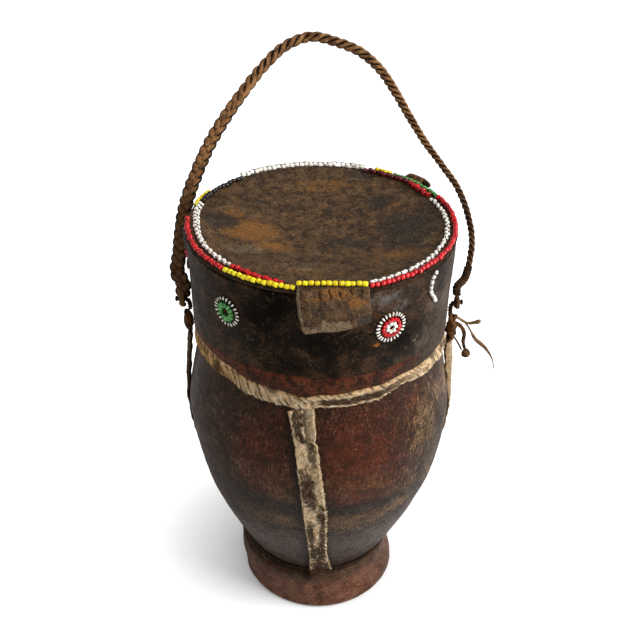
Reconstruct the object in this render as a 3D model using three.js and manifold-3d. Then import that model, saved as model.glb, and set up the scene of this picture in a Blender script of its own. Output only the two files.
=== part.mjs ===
// A carved wooden medicine container: a vessel with a leather cap, rows of glass beads, a harness of hide
// and a braided leather handle. Millimetres, +Z up, the front faces -Y, and the origin is the centre of the
// foot's flat underside. Azimuths are degrees round +Z from +X, so the front is at -90.

import * as THREE from 'three';
import { mergeVertices } from 'three/addons/utils/BufferGeometryUtils.js';
import Module from 'manifold-3d';

const wasm = await Module();
wasm.setup();

// Driving dimensions

const seatGap = 0.3; // between two pieces that touch on the real object

// The vessel: foot, waist, belly, shoulder and neck, with the hollow inside
const footRadius = 50.5;
const footHeight = 28;
const footBevel = 3;
const footTaper = 1.6; // how much narrower the foot is at its top
const waistDepth = 2.7; // how far the waist is cut in below the foot's top edge
const waistHeight = 32.5;
const bellyRadius = 80.4;
const bellyHeight = 145;
const bellyFullness = 0.94;
const shoulderHeight = 197;
const shoulderRadius = 71;
const shoulderFullness = 1.2;
const neckInset = 0.4;
const vesselWall = 8;
const neckWall = 7;
const floorThickness = 41; // the foot is solid wood
const hollowRound = 10; // height over which the hollow rounds onto its floor
const neckStep = 3; // height over which the shoulder steps in to the neck
const mouthBevel = 1;

// The leather cap
const capHeight = 64.4;
const capFit = 1.2; // between the neck and the cap
const capWall = 2.8;
const capFlare = 1.6; // how much wider the cap is at its top
const topThickness = 2.4;
const topOverhang = 0.1;
const topBevel = 1;
const rimBand = 8.8; // the nearly flat band under the bead rows
const rimFlat = 3; // the level part of that band, next to the edge
const rimSlope = 0.5;
const dishDepth = 6.7;

// Beads
const beadRadius = 1.4;
const beadPitch = 3;
const threadRadius = 0.45;
const smallBeadRadius = 1.2;
const smallBeadPitch = 2.6;
const outerRowInset = 1.1; // bead centres inside the cap's edge
const innerRowInset = 6.6;
const rearRowInset = 4.2; // where the inner row nearly joins the outer one

// Tabs
const tabThickness = 2;
const frontTabOffset = 5.9; // to the right of the middle
const frontTabWidth = 36;
const frontTabDrop = 24; // length below the rim
const frontTabRoot = 5.5; // length on the top of the rim
const frontTabSkew = 3;
const frontTabBeads = 12;
const tabBeadInset = 3.9; // how far in from the tab's edge its beads lie
const tabBend = 1.2; // how far the tab stands off the rim where it bends over
const rearTabAzimuth = 44.5;
const rearTabWidth = 17;
const rearTabReach = 8;
const rearTabDrop = 11;
const rearTabThickness = 1.8;

// The harness of hide
const ringStrapHeight = 9.2;
const strapThickness = 1.8;
const ringStrapThickness = 2.2;
const sideStrapWidth = 8;
const frontStrapWidth = 13;
const frontStripWidth = 7.6; // the left strip at the top of the front strap
const frontFoldWidth = 5.6; // the short strip beside it
const frontFoldLength = 19;
const waistThongRadius = 1.3;

// The handle and its lashings
const handleLean = 45; // degrees back from upright
const pivotHeight = 209;
const handleRise = 171.5;
const handleThickness = 5;
const lashingRadius = 1.6;
const lashingClear = 1.1; // between a lashing and the cap that lifts past it
const lashingEnd = 1.6; // how far a lashing's end stands out of its loop
const loopFit = 0.8; // between a lashing and the handle loop round it
const loopRoom = 0.5; // between a lashing's upright and the loop's face
const leftLoop = { thickness: 4.4, wall: 2.6 };
const rightLoop = { thickness: 3, wall: 1.8 };
const bindingSteps = 3; // steps of the handle's route that the binding covers
const bindingWall = 0.9;
const leftKnot = { depth: 2.7, width: 4, height: 7 };
const rightKnot = { depth: 2.8, width: 3.8, height: 9.4 };
const knotTop = 201;
const ballKnotRadius = 2.9;

// Facets
const roundSegments = 48;
const cordSides = 6;
const beadSides = 5;

// Sizes worked out from them

const neckRadius = shoulderRadius - neckInset;
const capInner = neckRadius + capFit;
const capOuterBottom = capInner + capWall;
const capOuterTop = capOuterBottom + capFlare;
const capBottom = shoulderHeight;
const capTop = capBottom + capHeight;
const wallTop = capTop - topThickness - seatGap;
const topRadius = capOuterTop + topOverhang;
const bandInner = topRadius - rimBand;
const neckInner = neckRadius - neckWall;
const waistRadius = footRadius - footTaper - waistDepth;

function vesselRadius(z) {
  if (z <= waistHeight) return waistRadius;
  if (z <= bellyHeight) {
    const rise = (z - waistHeight) / (bellyHeight - waistHeight);
    return waistRadius + (bellyRadius - waistRadius) * Math.sin((Math.PI / 2) * rise ** bellyFullness);
  }
  if (z <= shoulderHeight) {
    const rise = (z - bellyHeight) / (shoulderHeight - bellyHeight);
    return bellyRadius - (bellyRadius - shoulderRadius) * rise ** shoulderFullness;
  }
  return neckRadius;
}

function capRadius(z) {
  return capOuterBottom + (capFlare * (z - capBottom)) / (wallTop - capBottom);
}

function topSurface(r) {
  if (r >= bandInner) {
    const across = Math.min((r - bandInner) / (rimBand - rimFlat), 1);
    return capTop - rimSlope * (1 - across);
  }
  return capTop - rimSlope - dishDepth * (1 - (r / bandInner) ** 2);
}

const mouthHeight = topSurface(neckInner) - topThickness - seatGap;

// Geometry helpers

const radians = THREE.MathUtils.degToRad;
const lerp = THREE.MathUtils.lerp;

function polar(azimuth, radius, z) {
  return new THREE.Vector3(radius * Math.cos(radians(azimuth)), radius * Math.sin(radians(azimuth)), z);
}

function outward(point) {
  return new THREE.Vector3(point.x, point.y, 0).normalize();
}

// Keeps a flat strap's width along one fixed direction.
function acrossFrom(widthAxis) {
  return (point, along) => along.clone().cross(widthAxis);
}

function spread(low, high, count) {
  return Array.from({ length: count }, (_, i) => lerp(low, high, i / (count - 1)));
}

// Reads a list of evenly spread values at a share from 0 to 1.
function valueAt(values, share) {
  const place = share * (values.length - 1);
  const i = Math.min(Math.floor(place), values.length - 2);
  return lerp(values[i], values[i + 1], place - i);
}

function smooth(points, steps) {
  return new THREE.CatmullRomCurve3(points, false, 'centripetal').getSpacedPoints(steps);
}

// Joins rings of points into one closed body; the rings run anticlockwise seen from the end they lead to.
function loft(rings, closed = false) {
  const sides = rings[0].length;
  const faces = [];
  const spans = closed ? rings.length : rings.length - 1;
  for (let i = 0; i < spans; i++) {
    const a = i * sides;
    const b = ((i + 1) % rings.length) * sides;
    for (let j = 0; j < sides; j++) {
      const k = (j + 1) % sides;
      faces.push(a + j, a + k, b + k, a + j, b + k, b + j);
    }
  }
  if (!closed) {
    const end = (rings.length - 1) * sides;
    for (let j = 1; j < sides - 1; j++) faces.push(0, j + 1, j, end, end + j, end + j + 1);
  }
  const geometry = new THREE.BufferGeometry();
  const positions = rings.flat().flatMap((p) => [p.x, p.y, p.z]);
  geometry.setAttribute('position', new THREE.Float32BufferAttribute(positions, 3));
  geometry.setIndex(faces);
  return geometry;
}

// Carries a section along a route. facing gives the direction that the section's second axis turns to.
function sweep(route, facing, section, closed = false) {
  const count = route.length;
  const rings = route.map((point, i) => {
    const before = route[closed ? (i + count - 1) % count : Math.max(i - 1, 0)];
    const after = route[closed ? (i + 1) % count : Math.min(i + 1, count - 1)];
    const along = after.clone().sub(before).normalize();
    const side = facing(point, along).clone().cross(along).normalize();
    const up = along.clone().cross(side);
    return section(i / (count - 1), i).map(([s, u]) =>
      point.clone().addScaledVector(side, s).addScaledVector(up, u));
  });
  return loft(rings, closed);
}

function ellipse(halfWidth, halfThickness, sides) {
  return Array.from({ length: sides }, (_, j) => {
    const turn = (2 * Math.PI * (j + 0.5)) / sides;
    return [halfWidth * Math.cos(turn), halfThickness * Math.sin(turn)];
  });
}

function rectangle(width, thickness) {
  const w = width / 2;
  const t = thickness / 2;
  return [[w, -t], [w, t], [-w, t], [-w, -t]];
}

function strap(route, facing, widths, thickness) {
  return sweep(route, facing, (share) => rectangle(valueAt(widths, share), thickness));
}

function thong(route, facing, radii, sides = cordSides) {
  return sweep(route, facing, (share) => {
    const radius = valueAt(radii, share);
    return ellipse(radius, radius, sides);
  });
}

// Beads threaded on a cord: each bead is one wide ring between two narrow ones. place gives the point at a
// share of the string, and halfWidth and halfThickness are the bead's own.
function beadString(count, place, facing, halfWidth, halfThickness, closed = false) {
  const rings = closed ? 2 * count : 2 * count + 1;
  const route = Array.from({ length: rings }, (_, i) => place(i / (2 * count)));
  const bead = ellipse(halfWidth, halfThickness, beadSides);
  const thread = ellipse(threadRadius, threadRadius, beadSides);
  const section = (share, i) => (i % 2 === 1 ? bead : thread);
  return sweep(route, facing, section, closed);
}

// A solid of revolution about Z from a closed outline of radius and height, run anticlockwise.
function revolve(outline, segments = roundSegments) {
  const points = [...outline, outline[0]].map(([r, z]) => new THREE.Vector2(r, z));
  const geometry = new THREE.LatheGeometry(points, segments);
  return geometry.rotateX(Math.PI / 2);
}

function ellipsoid(depth, width, height) {
  return new THREE.SphereGeometry(1, 12, 8).rotateX(Math.PI / 2).scale(depth, width, height);
}

function toSolid(geometry) {
  const positions = geometry.clone();
  positions.deleteAttribute('uv');
  positions.deleteAttribute('normal');
  const merged = mergeVertices(positions, 1e-4);
  return new wasm.Manifold(new wasm.Mesh({
    numProp: 3,
    vertProperties: merged.attributes.position.array,
    triVerts: new Uint32Array(merged.index.array),
  }));
}

function fromSolid(solid) {
  const mesh = solid.getMesh();
  const geometry = new THREE.BufferGeometry();
  geometry.setAttribute('position', new THREE.BufferAttribute(new Float32Array(mesh.vertProperties), 3));
  geometry.setIndex(Array.from(mesh.triVerts));
  return geometry;
}

// Materials

function finish(color, roughness, metalness = 0) {
  return new THREE.MeshStandardMaterial({ color, roughness, metalness });
}

const wood = finish('#4a2218', 0.45);
const capLeather = finish('#2b211d', 0.6);
const topLeather = finish('#5a3a22', 0.6);
const hide = finish('#b79a6a', 0.85);
const braidLeather = finish('#6b4527', 0.6);
const thongLeather = finish('#3f2a1c', 0.65);
const beadColours = {
  red: finish('#b3161c', 0.25),
  darkRed: finish('#5c1018', 0.25),
  yellow: finish('#e9c412', 0.25),
  white: finish('#ece8df', 0.25),
  green: finish('#3f8f4c', 0.25),
  black: finish('#15130f', 0.25),
};

const container = new THREE.Group();

function add(name, geometry, material) {
  geometry.computeVertexNormals();
  const mesh = new THREE.Mesh(geometry, material);
  mesh.name = name;
  container.add(mesh);
  return mesh;
}

// The vessel

function vesselOutline() {
  const outside = [
    [0, 0],
    [footRadius - footBevel, 0],
    [footRadius, footBevel],
    [footRadius, footHeight / 2],
    [footRadius - footTaper, footHeight],
  ];
  for (const z of spread(waistHeight, bellyHeight, 10)) outside.push([vesselRadius(z), z]);
  for (const z of spread(bellyHeight, shoulderHeight, 5).slice(1)) outside.push([vesselRadius(z), z]);
  outside.push(
    [neckRadius, shoulderHeight + neckStep],
    [neckRadius, mouthHeight - mouthBevel],
    [neckRadius - mouthBevel, mouthHeight],
    [neckInner + mouthBevel, mouthHeight],
    [neckInner, mouthHeight - mouthBevel],
  );
  // Inside, the wall keeps its thickness down to the hollow's foot, which is rounded onto the floor
  const hollowFoot = floorThickness + vesselWall;
  const hollowRadius = vesselRadius(hollowFoot) - vesselWall;
  for (const z of spread(shoulderHeight, hollowFoot + hollowRound, 6)) {
    outside.push([vesselRadius(z) - vesselWall, z]);
  }
  for (const share of [0.8, 0.45, 0]) {
    outside.push([hollowRadius * share, floorThickness + vesselWall * share ** 3]);
  }
  return outside;
}

add('wooden_vessel', revolve(vesselOutline()), wood);

// The cap

add('cap_wall', revolve([
  [capInner, capBottom],
  [capOuterBottom, capBottom],
  [capRadius((capBottom + wallTop) / 2), (capBottom + wallTop) / 2],
  [capOuterTop, wallTop],
  [capInner, wallTop],
]), capLeather);

function capTopOutline() {
  const dish = [0, 0.35, 0.65, 0.87].map((share) => share * bandInner);
  const radii = [...dish, bandInner, topRadius - rimFlat, topRadius - topBevel];
  const under = [...dish, bandInner, topRadius - rimFlat].map((r) => [r, topSurface(r) - topThickness]);
  const over = radii.map((r) => [r, topSurface(r)]).reverse();
  return [...under, [topRadius, capTop - topThickness], [topRadius, capTop - topBevel], ...over];
}

add('cap_top', revolve(capTopOutline()), topLeather);

// Bead rows on the rim: colour, azimuth of each end, and how far inside the edge each end lies

function rimPlace(radius, azimuth, size = beadRadius) {
  return polar(azimuth, radius, topSurface(radius) + seatGap + size);
}

const zUp = () => new THREE.Vector3(0, 0, 1);

function rimString(name, colour, ends, insets, pitch = beadPitch, size = beadRadius) {
  const radii = insets.map((inset) => topRadius - inset);
  const length = radians(ends[1] - ends[0]) * ((radii[0] + radii[1]) / 2);
  const count = Math.round(length / pitch);
  const place = (share) => rimPlace(lerp(radii[0], radii[1], share), lerp(ends[0], ends[1], share), size);
  add(name, beadString(count, place, zUp, size, size), beadColours[colour]);
}

const outerRow = [outerRowInset, outerRowInset];
rimString('outer_beads_red_left', 'red', [-180, -132], outerRow);
rimString('outer_beads_yellow_front', 'yellow', [-131, -100], outerRow);
rimString('outer_beads_red_right', 'red', [-70.5, 24], outerRow);
rimString('outer_beads_green', 'green', [25, 54], outerRow);
rimString('outer_beads_yellow_rear_right', 'yellow', [55, 64], outerRow);
rimString('outer_beads_white_rear_right', 'white', [69.5, 81], outerRow);
rimString('outer_beads_white_rear', 'white', [83, 131], outerRow);
rimString('outer_beads_yellow_rear_left', 'yellow', [152, 167], outerRow);

rimString('inner_beads_black', 'black', [132, 163], [rearRowInset, rearRowInset]);
rimString('inner_beads_white_left', 'white', [164.5, 190], [rearRowInset, innerRowInset]);
rimString('inner_beads_white_front_left', 'white', [191, 227.5], [innerRowInset, innerRowInset]);
rimString('inner_beads_red_front', 'red', [-131.5, -106], [innerRowInset, rearRowInset]);
rimString('inner_beads_white_right', 'white', [-69, 24], [innerRowInset, innerRowInset],
  smallBeadPitch, smallBeadRadius);
rimString('inner_beads_bright_red', 'red', [26, 43], [innerRowInset, rearRowInset]);
rimString('inner_beads_dark_red', 'darkRed', [44.5, 68], [rearRowInset, rearRowInset]);

// Beads on the cap's wall

function onWall(azimuth, z, stand) {
  return polar(azimuth, capRadius(z) + stand, z);
}

const wallBeadStand = seatGap + smallBeadRadius;

function wallString(name, colour, points, count) {
  const places = points.map(([azimuth, drop]) => onWall(azimuth, capTop - drop, wallBeadStand));
  const curve = new THREE.CatmullRomCurve3(places);
  const place = (share) => curve.getPointAt(share);
  add(name, beadString(count, place, outward, smallBeadRadius, smallBeadRadius), beadColours[colour]);
}

wallString('wall_arc_white', 'white', [[-37.3, 4.6], [-40.6, 9], [-40.6, 14.5], [-35.9, 25]], 8);
wallString('side_string_black', 'black', [[181, 3.8], [181.4, 10], [181, 18]], 6);
wallString('side_string_red', 'red', [[181, 18.6], [180.8, 24]], 2);
add('side_string_tag', strap(
  [24.6, 28, 31.5].map((drop) => onWall(180.8, capTop - drop, seatGap + 1)),
  outward, [2, 3.6, 2.8], 1.6), thongLeather);

// Rosettes: rings of beads sewn flat on the wall. radial is half a bead's length away from the centre.
function rosetteRing(name, colour, centre, ring) {
  const place = (share) => {
    const turn = 2 * Math.PI * share;
    const z = centre.z + ring.radius * Math.sin(turn);
    const sweepAngle = THREE.MathUtils.radToDeg((ring.radius * Math.cos(turn)) / capRadius(centre.z));
    return onWall(centre.azimuth + sweepAngle, z, seatGap + ring.stand);
  };
  add(name, beadString(ring.count, place, outward, ring.radial, ring.stand, true), beadColours[colour]);
}

const fringeRadius = 7.9;
const greenRosette = { azimuth: -130.5, z: capTop - 24.5 };
rosetteRing('green_rosette_ring', 'green', greenRosette,
  { radius: 4.1, radial: 2, stand: 1.1, count: 12 });
rosetteRing('green_rosette_fringe', 'white', greenRosette,
  { radius: fringeRadius, radial: 0.9, stand: 0.8, count: 22 });

const redRosette = { azimuth: -60.4, z: capTop - 27.9 };
rosetteRing('red_rosette_centre_ring', 'white', redRosette,
  { radius: 2.5, radial: 0.95, stand: 1, count: 7 });
rosetteRing('red_rosette_ring', 'red', redRosette,
  { radius: 4.8, radial: 1.05, stand: 1.1, count: 16 });
rosetteRing('red_rosette_fringe', 'white', redRosette,
  { radius: fringeRadius, radial: 0.85, stand: 0.8, count: 25 });

// The front tab: its root lies on the rim, it bends over the edge and hangs down the wall

const tabLift = seatGap + tabThickness / 2;
const frontTabEnd = capTop - frontTabDrop;
const rimEdge = topRadius + tabLift;
const tabBeadRow = rimEdge - tabBeadInset;

function frontTabRoute() {
  const places = [
    [rimEdge - tabBend - frontTabRoot, capTop + tabLift],
    [rimEdge - 2.8 * tabBend, capTop + tabLift],
    [rimEdge - tabBend / 3, capTop + tabLift - tabBend / 3],
    [rimEdge + tabBend, capTop - 1.3 * tabBend],
    [rimEdge + tabBend * 0.7, lerp(capTop, frontTabEnd, 0.5)],
    [capRadius(frontTabEnd) + tabLift, frontTabEnd],
  ];
  return places.map(([radius, z]) => {
    const hang = THREE.MathUtils.clamp((capTop - z) / frontTabDrop, 0, 1);
    return new THREE.Vector3(frontTabOffset + frontTabSkew * hang, -radius, z);
  });
}

add('front_tab', strap(smooth(frontTabRoute(), 12), acrossFrom(new THREE.Vector3(1, 0, 0)),
  [frontTabWidth, frontTabWidth], tabThickness), topLeather);

const tabBeadHeight = capTop + tabLift + tabThickness / 2 + seatGap + beadRadius;

function tabBeadPlace(share) {
  const x = frontTabOffset + (share - 0.5) * frontTabBeads * beadPitch;
  return new THREE.Vector3(x, -tabBeadRow, tabBeadHeight);
}

const tabBeads = beadString(frontTabBeads, tabBeadPlace, zUp, beadRadius, beadRadius);
add('front_tab_beads', tabBeads, beadColours.yellow);

// The rear tab leaves the rim below the beads and curls outwards and down

const rearTabRadial = polar(rearTabAzimuth, 1, 0);
const rearTabAcross = polar(rearTabAzimuth + 90, 1, 0);
const rearTabStart = topRadius + seatGap;

function rearTabRoute() {
  const places = [
    [0, -1.2],
    [2.9, 1],
    [5.9, 1.2],
    [rearTabReach, -1],
    [rearTabReach + 0.3, -5.4],
    [rearTabReach - 1, -rearTabDrop],
  ];
  return places.map(([reach, rise]) =>
    rearTabRadial.clone().multiplyScalar(rearTabStart + reach).setZ(capTop + rise));
}

add('rear_tab', strap(smooth(rearTabRoute(), 12), acrossFrom(rearTabAcross),
  [rearTabWidth, rearTabWidth, rearTabWidth - 6], rearTabThickness), topLeather);

// The harness

const ringStrapTop = capBottom - seatGap;
const ringStrapBottom = ringStrapTop - ringStrapHeight;

add('ring_strap', revolve([
  [vesselRadius(ringStrapBottom) + seatGap, ringStrapBottom],
  [vesselRadius(ringStrapBottom) + seatGap + ringStrapThickness, ringStrapBottom],
  [vesselRadius(ringStrapTop) + seatGap + ringStrapThickness, ringStrapTop],
  [vesselRadius(ringStrapTop) + seatGap, ringStrapTop],
]), hide);

const thongRing = waistRadius + seatGap + waistThongRadius;
const strapStand = seatGap + strapThickness / 2;
const overThong = thongRing + waistThongRadius + strapStand;

add('waist_thong', sweep(
  Array.from({ length: roundSegments }, (_, i) => polar((360 * i) / roundSegments, thongRing, waistHeight)),
  outward, () => ellipse(waistThongRadius, waistThongRadius, cordSides), true), thongLeather);

// How far from the axis a strap's middle lies at a height, on the belly or over the waist thong
function strapRadius(z) {
  const onThong = z < waistHeight + 2 * waistThongRadius + seatGap;
  return onThong ? overThong : Math.max(vesselRadius(z) + strapStand, overThong);
}

const strapTop = ringStrapBottom - 2 * seatGap; // its square-cut end tilts with the shoulder
const strapBottom = waistHeight; // the straps end on the waist thong

// The front strap slants: share of the way down, offset to the right, width
const frontStrapShape = [
  [0, -12.4, frontStripWidth],
  [0.13, -10.9, frontStripWidth],
  [0.185, -5.6, frontStrapWidth - 0.6],
  [0.28, -4, frontStrapWidth - 0.4],
  [0.48, -1.4, frontStrapWidth],
  [1, 2.5, frontStrapWidth],
];

function shapeAt(shape, share, column) {
  const after = Math.max(shape.findIndex(([place]) => place >= share), 1);
  const [low, high] = [shape[after - 1], shape[after]];
  return lerp(low[column], high[column], (share - low[0]) / (high[0] - low[0]));
}

function strapDown(azimuth, top, bottom, steps, offsetAt) {
  return spread(0, 1, steps + 1).map((share) => {
    const z = lerp(top, bottom, share);
    const radius = strapRadius(z);
    return polar(azimuth + THREE.MathUtils.radToDeg(offsetAt(share) / radius), radius, z);
  });
}

const frontSteps = 32;
add('front_strap', strap(
  strapDown(-90, strapTop, strapBottom, frontSteps, (share) => shapeAt(frontStrapShape, share, 1)),
  outward,
  spread(0, 1, frontSteps + 1).map((share) => shapeAt(frontStrapShape, share, 2)),
  strapThickness), hide);

const foldShare = frontFoldLength / (strapTop - strapBottom);
const besideStrip = (frontStripWidth + frontFoldWidth) / 2 + 3 * seatGap;
add('front_strap_fold', strap(
  strapDown(-90, strapTop, strapTop - frontFoldLength, 4,
    (share) => shapeAt(frontStrapShape, share * foldShare, 1) + besideStrip),
  outward, [frontFoldWidth, frontFoldWidth], strapThickness), hide);

add('rear_strap', strap(strapDown(90, strapTop, strapBottom, 14, () => 0), outward,
  [sideStrapWidth, sideStrapWidth], strapThickness), hide);

// The knots at the sides, and the side straps that hang from them clear of the shoulder

const ringStrapOuter = vesselRadius(ringStrapBottom) + seatGap + ringStrapThickness;
const lashingReach = capRadius(pivotHeight) + lashingClear + lashingRadius;
const loopHole = lashingRadius + loopFit;

function sideStrapRoute(azimuth, knot) {
  const reach = ringStrapOuter + seatGap + knot.depth;
  const top = knotTop - 2 * knot.height - seatGap;
  const onBelly = spread(bellyHeight + 4, strapBottom, 12).map((z) => polar(azimuth, strapRadius(z), z));
  return [polar(azimuth, reach, top), ...onBelly];
}

function addSide(side, azimuth, knot, loop) {
  const reach = ringStrapOuter + seatGap + knot.depth;
  const knotBody = ellipsoid(knot.depth, knot.width, knot.height);
  knotBody.rotateZ(radians(azimuth));
  const middle = polar(azimuth, reach, knotTop - knot.height);
  add(`${side}_knot`, knotBody.translate(middle.x, middle.y, middle.z), thongLeather);
  add(`${side}_strap`, strap(sideStrapRoute(azimuth, knot), outward,
    [sideStrapWidth, sideStrapWidth], strapThickness), hide);

  // The lashing rises from the knot and bends outwards through the handle's loop
  const loopInner = lashingReach + lashingRadius + loopRoom;
  const pinEnd = loopInner + loop.thickness + lashingEnd;
  const bend = 2 * lashingRadius;
  const route = smooth([
    [lashingReach, knotTop + seatGap],
    [lashingReach, pivotHeight - bend],
    [lashingReach + bend / 4, pivotHeight - bend / 3],
    [lashingReach + 0.8 * bend, pivotHeight],
    [pinEnd, pivotHeight],
  ].map(([radius, z]) => polar(azimuth, radius, z)), 14);
  const aside = polar(azimuth + 90, 1, 0);
  add(`${side}_lashing`, thong(route, () => aside, [lashingRadius, lashingRadius]), thongLeather);

  const loopOuter = loopHole + loop.wall;
  const ring = revolve([
    [loopHole, loopInner],
    [loopOuter, loopInner],
    [loopOuter, loopInner + loop.thickness],
    [loopHole, loopInner + loop.thickness],
  ], 16);
  ring.rotateY(Math.PI / 2);
  ring.rotateZ(radians(azimuth));
  add(`handle_loop_${side}`, ring.translate(0, 0, pivotHeight), braidLeather);
  return { x: loopInner + loop.thickness / 2, rise: loopOuter + 2 * seatGap };
}

const leftEnd = addSide('left', 180, leftKnot, leftLoop);
const rightEnd = addSide('right', 0, rightKnot, rightLoop);

// The handle: a braid that arches over the cap from loop to loop, in one plane that leans back

// Shares of the half span and of the rise, from the left end over the top to the right end
const handleArch = [
  [-1.04, 0.082], [-1.04, 0.163], [-1.03, 0.262], [-1, 0.362], [-0.938, 0.461], [-0.861, 0.56],
  [-0.751, 0.665], [-0.611, 0.776], [-0.458, 0.88], [-0.293, 0.962], [-0.098, 1], [0.098, 0.98],
  [0.269, 0.945], [0.427, 0.878], [0.549, 0.787], [0.659, 0.688], [0.769, 0.595], [0.903, 0.501],
  [1.019, 0.414], [1.086, 0.321], [1.114, 0.227], [1.092, 0.146], [1.05, 0.082],
];
const handleWidths = [8.8, 8.8, 8.4, 7.9, 7.5, 6.9, 5.2, 3.8, 3.5, 3.5];
const handleThicknesses = [handleThickness, handleThickness, handleThickness, 4.4, 3.6, 3.4];
const handleSteps = 64;
const straightEnd = 4; // the braid's ends meet their loops squarely

const leanBack = radians(handleLean);
const archUp = new THREE.Vector3(0, Math.sin(leanBack), Math.cos(leanBack));
const archNormal = new THREE.Vector3(0, -Math.cos(leanBack), Math.sin(leanBack));

function onArch(x, rise) {
  return archUp.clone().multiplyScalar(rise).add(new THREE.Vector3(x, 0, pivotHeight));
}

const halfSpan = (leftEnd.x + rightEnd.x) / 2;
const handleRoute = smooth([
  onArch(-leftEnd.x, leftEnd.rise),
  onArch(-leftEnd.x, leftEnd.rise + straightEnd),
  ...handleArch.map(([span, rise]) => onArch(span * halfSpan, rise * handleRise)),
  onArch(rightEnd.x, rightEnd.rise + straightEnd),
  onArch(rightEnd.x, rightEnd.rise),
], handleSteps);

function handleSection(grow, sides = 8) {
  return (share) => ellipse(
    valueAt(handleWidths, share) / 2 + grow, valueAt(handleThicknesses, share) / 2 + grow, sides);
}

add('handle_braid', sweep(handleRoute, () => archNormal, handleSection(0)), braidLeather);

function bindingShell(route, grow) {
  return toSolid(sweep(route, () => archNormal, () => handleSection(grow)(1)));
}

const bindingRoute = handleRoute.slice(-1 - bindingSteps);
const longerRoute = handleRoute.slice(-2 - bindingSteps);
const bindingOuter = bindingShell(bindingRoute, seatGap + bindingWall);
const bindingHole = bindingShell(longerRoute, seatGap);
add('handle_binding', fromSolid(bindingOuter.subtract(bindingHole)), thongLeather);

// The loose thong ends at the right knot, stiff and dry. Each point is how far out from the knot's face it
// lies, how far sideways, and how far below the knot's top.

const knotFace = ringStrapOuter + seatGap + 2 * rightKnot.depth;

function tail(name, points, radii, flatness) {
  const places = points.map(([out, aside, drop]) => new THREE.Vector3(knotFace + out, aside, knotTop - drop));
  const route = smooth(places, 3 * points.length);
  const section = (share) => {
    const radius = valueAt(radii, share);
    return ellipse(radius, radius * flatness, cordSides);
  };
  const aside = new THREE.Vector3(0, 1, 0);
  add(name, sweep(route, () => aside, section), thongLeather);
}

tail('right_tail_short',
  [[0.2, 0, 2.5], [3.8, -0.6, 4.4], [7.4, -1.2, 6], [11.2, -1.8, 5.1], [15, -2.2, 3.7]],
  [1.1, 1.2, 1.2, 1.7, 1.9], 0.45);
tail('right_tail_long',
  [[7.6, -1.2, 8.2], [12.7, -2.4, 16.5], [19.3, -3.6, 22.3], [23.6, -4.4, 28.7], [26.1, -4.8, 37.4]],
  [0.7, 1.6, 1.3, 0.6, 0.4], 0.5);
tail('right_loop_thong',
  [[1.1, 0, 7.2], [4.2, 0, 9.9], [6.1, 0, 14.5], [6, 0, 20], [7.45, 0, 25.6]],
  [1.2, 1.2, 1.1], 1);
tail('right_loop_return', [[-0.2, 0, 16.4], [2.6, 0, 20.6], [5.6, 0, 26.3]], [0.6, 0.6], 1);
add('right_ball_knot', ellipsoid(ballKnotRadius, ballKnotRadius, ballKnotRadius)
  .translate(knotFace + 8.4, 0, knotTop - 28.7), thongLeather);

export default container;
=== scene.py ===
# %% [markdown]
# # A carved wooden medicine container
#
# A potbellied vessel of dark wood stands on a carved foot. A tall leather cap slides over its neck, glass
# beads are sewn along the cap's rim, and a harness of hide with the hair left on holds a braided handle.
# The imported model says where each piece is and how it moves. This script gives each piece its surface, in
# the same place. It is a lesson in cells: a short text says what a piece is and how it is made, and the
# cell after it makes that piece.

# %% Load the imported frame
import math

import bpy
import numpy as np
from mathutils import Matrix, Vector


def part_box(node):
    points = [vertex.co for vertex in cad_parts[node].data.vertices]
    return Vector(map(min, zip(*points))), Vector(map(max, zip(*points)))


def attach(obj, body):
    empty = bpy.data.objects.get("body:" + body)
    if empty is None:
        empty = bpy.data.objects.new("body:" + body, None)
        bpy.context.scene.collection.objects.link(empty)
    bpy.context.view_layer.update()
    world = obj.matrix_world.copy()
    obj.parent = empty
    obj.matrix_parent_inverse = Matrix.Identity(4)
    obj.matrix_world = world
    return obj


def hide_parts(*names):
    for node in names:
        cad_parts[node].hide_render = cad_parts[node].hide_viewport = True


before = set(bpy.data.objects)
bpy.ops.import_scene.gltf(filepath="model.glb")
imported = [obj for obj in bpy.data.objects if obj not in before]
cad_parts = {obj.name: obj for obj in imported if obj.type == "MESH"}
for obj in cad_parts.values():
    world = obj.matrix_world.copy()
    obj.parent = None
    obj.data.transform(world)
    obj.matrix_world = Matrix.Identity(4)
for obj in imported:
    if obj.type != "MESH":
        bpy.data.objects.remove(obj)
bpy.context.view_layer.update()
MM = 0.001  # shapes are worked out in millimetres, and a mesh holds metres
print("nodes in the frame:", len(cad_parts))

# %% [markdown]
# ## The camera
#
# The photograph looks down on the container from in front. A camera is a place, a direction and a lens, so
# those are written as real sizes. The three axes of the view are worked out one by one and put into one
# matrix, because that keeps the small roll exact.

# %% Camera
PICTURE = 640
FOCAL_PIXELS = 950
SENSOR = 36
CAMERA_PLACE = Vector((0, -0.481, 0.504))
LOOK_DOWN = math.radians(32.71)
ROLL = math.radians(0.74)


def add_to_scene(name, data):
    made = bpy.data.objects.new(name, data)
    bpy.context.scene.collection.objects.link(made)
    return made


def make_camera():
    """The camera turned by its own three axes: right, up and back."""
    forward = Vector((0, math.cos(LOOK_DOWN), -math.sin(LOOK_DOWN)))
    level = Vector((1, 0, 0))
    upright = level.cross(forward)
    right = math.cos(ROLL) * level + math.sin(ROLL) * upright
    up = math.cos(ROLL) * upright - math.sin(ROLL) * level
    data = bpy.data.cameras.new("camera")
    data.sensor_width = SENSOR
    data.lens = FOCAL_PIXELS * SENSOR / PICTURE
    camera = add_to_scene("camera", data)
    turned = Matrix((right, up, -forward)).transposed().to_4x4()
    camera.matrix_world = Matrix.Translation(CAMERA_PLACE) @ turned
    bpy.context.scene.camera = camera
    return camera


camera = make_camera()
print("lens in millimetres:", round(camera.data.lens, 2))

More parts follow.
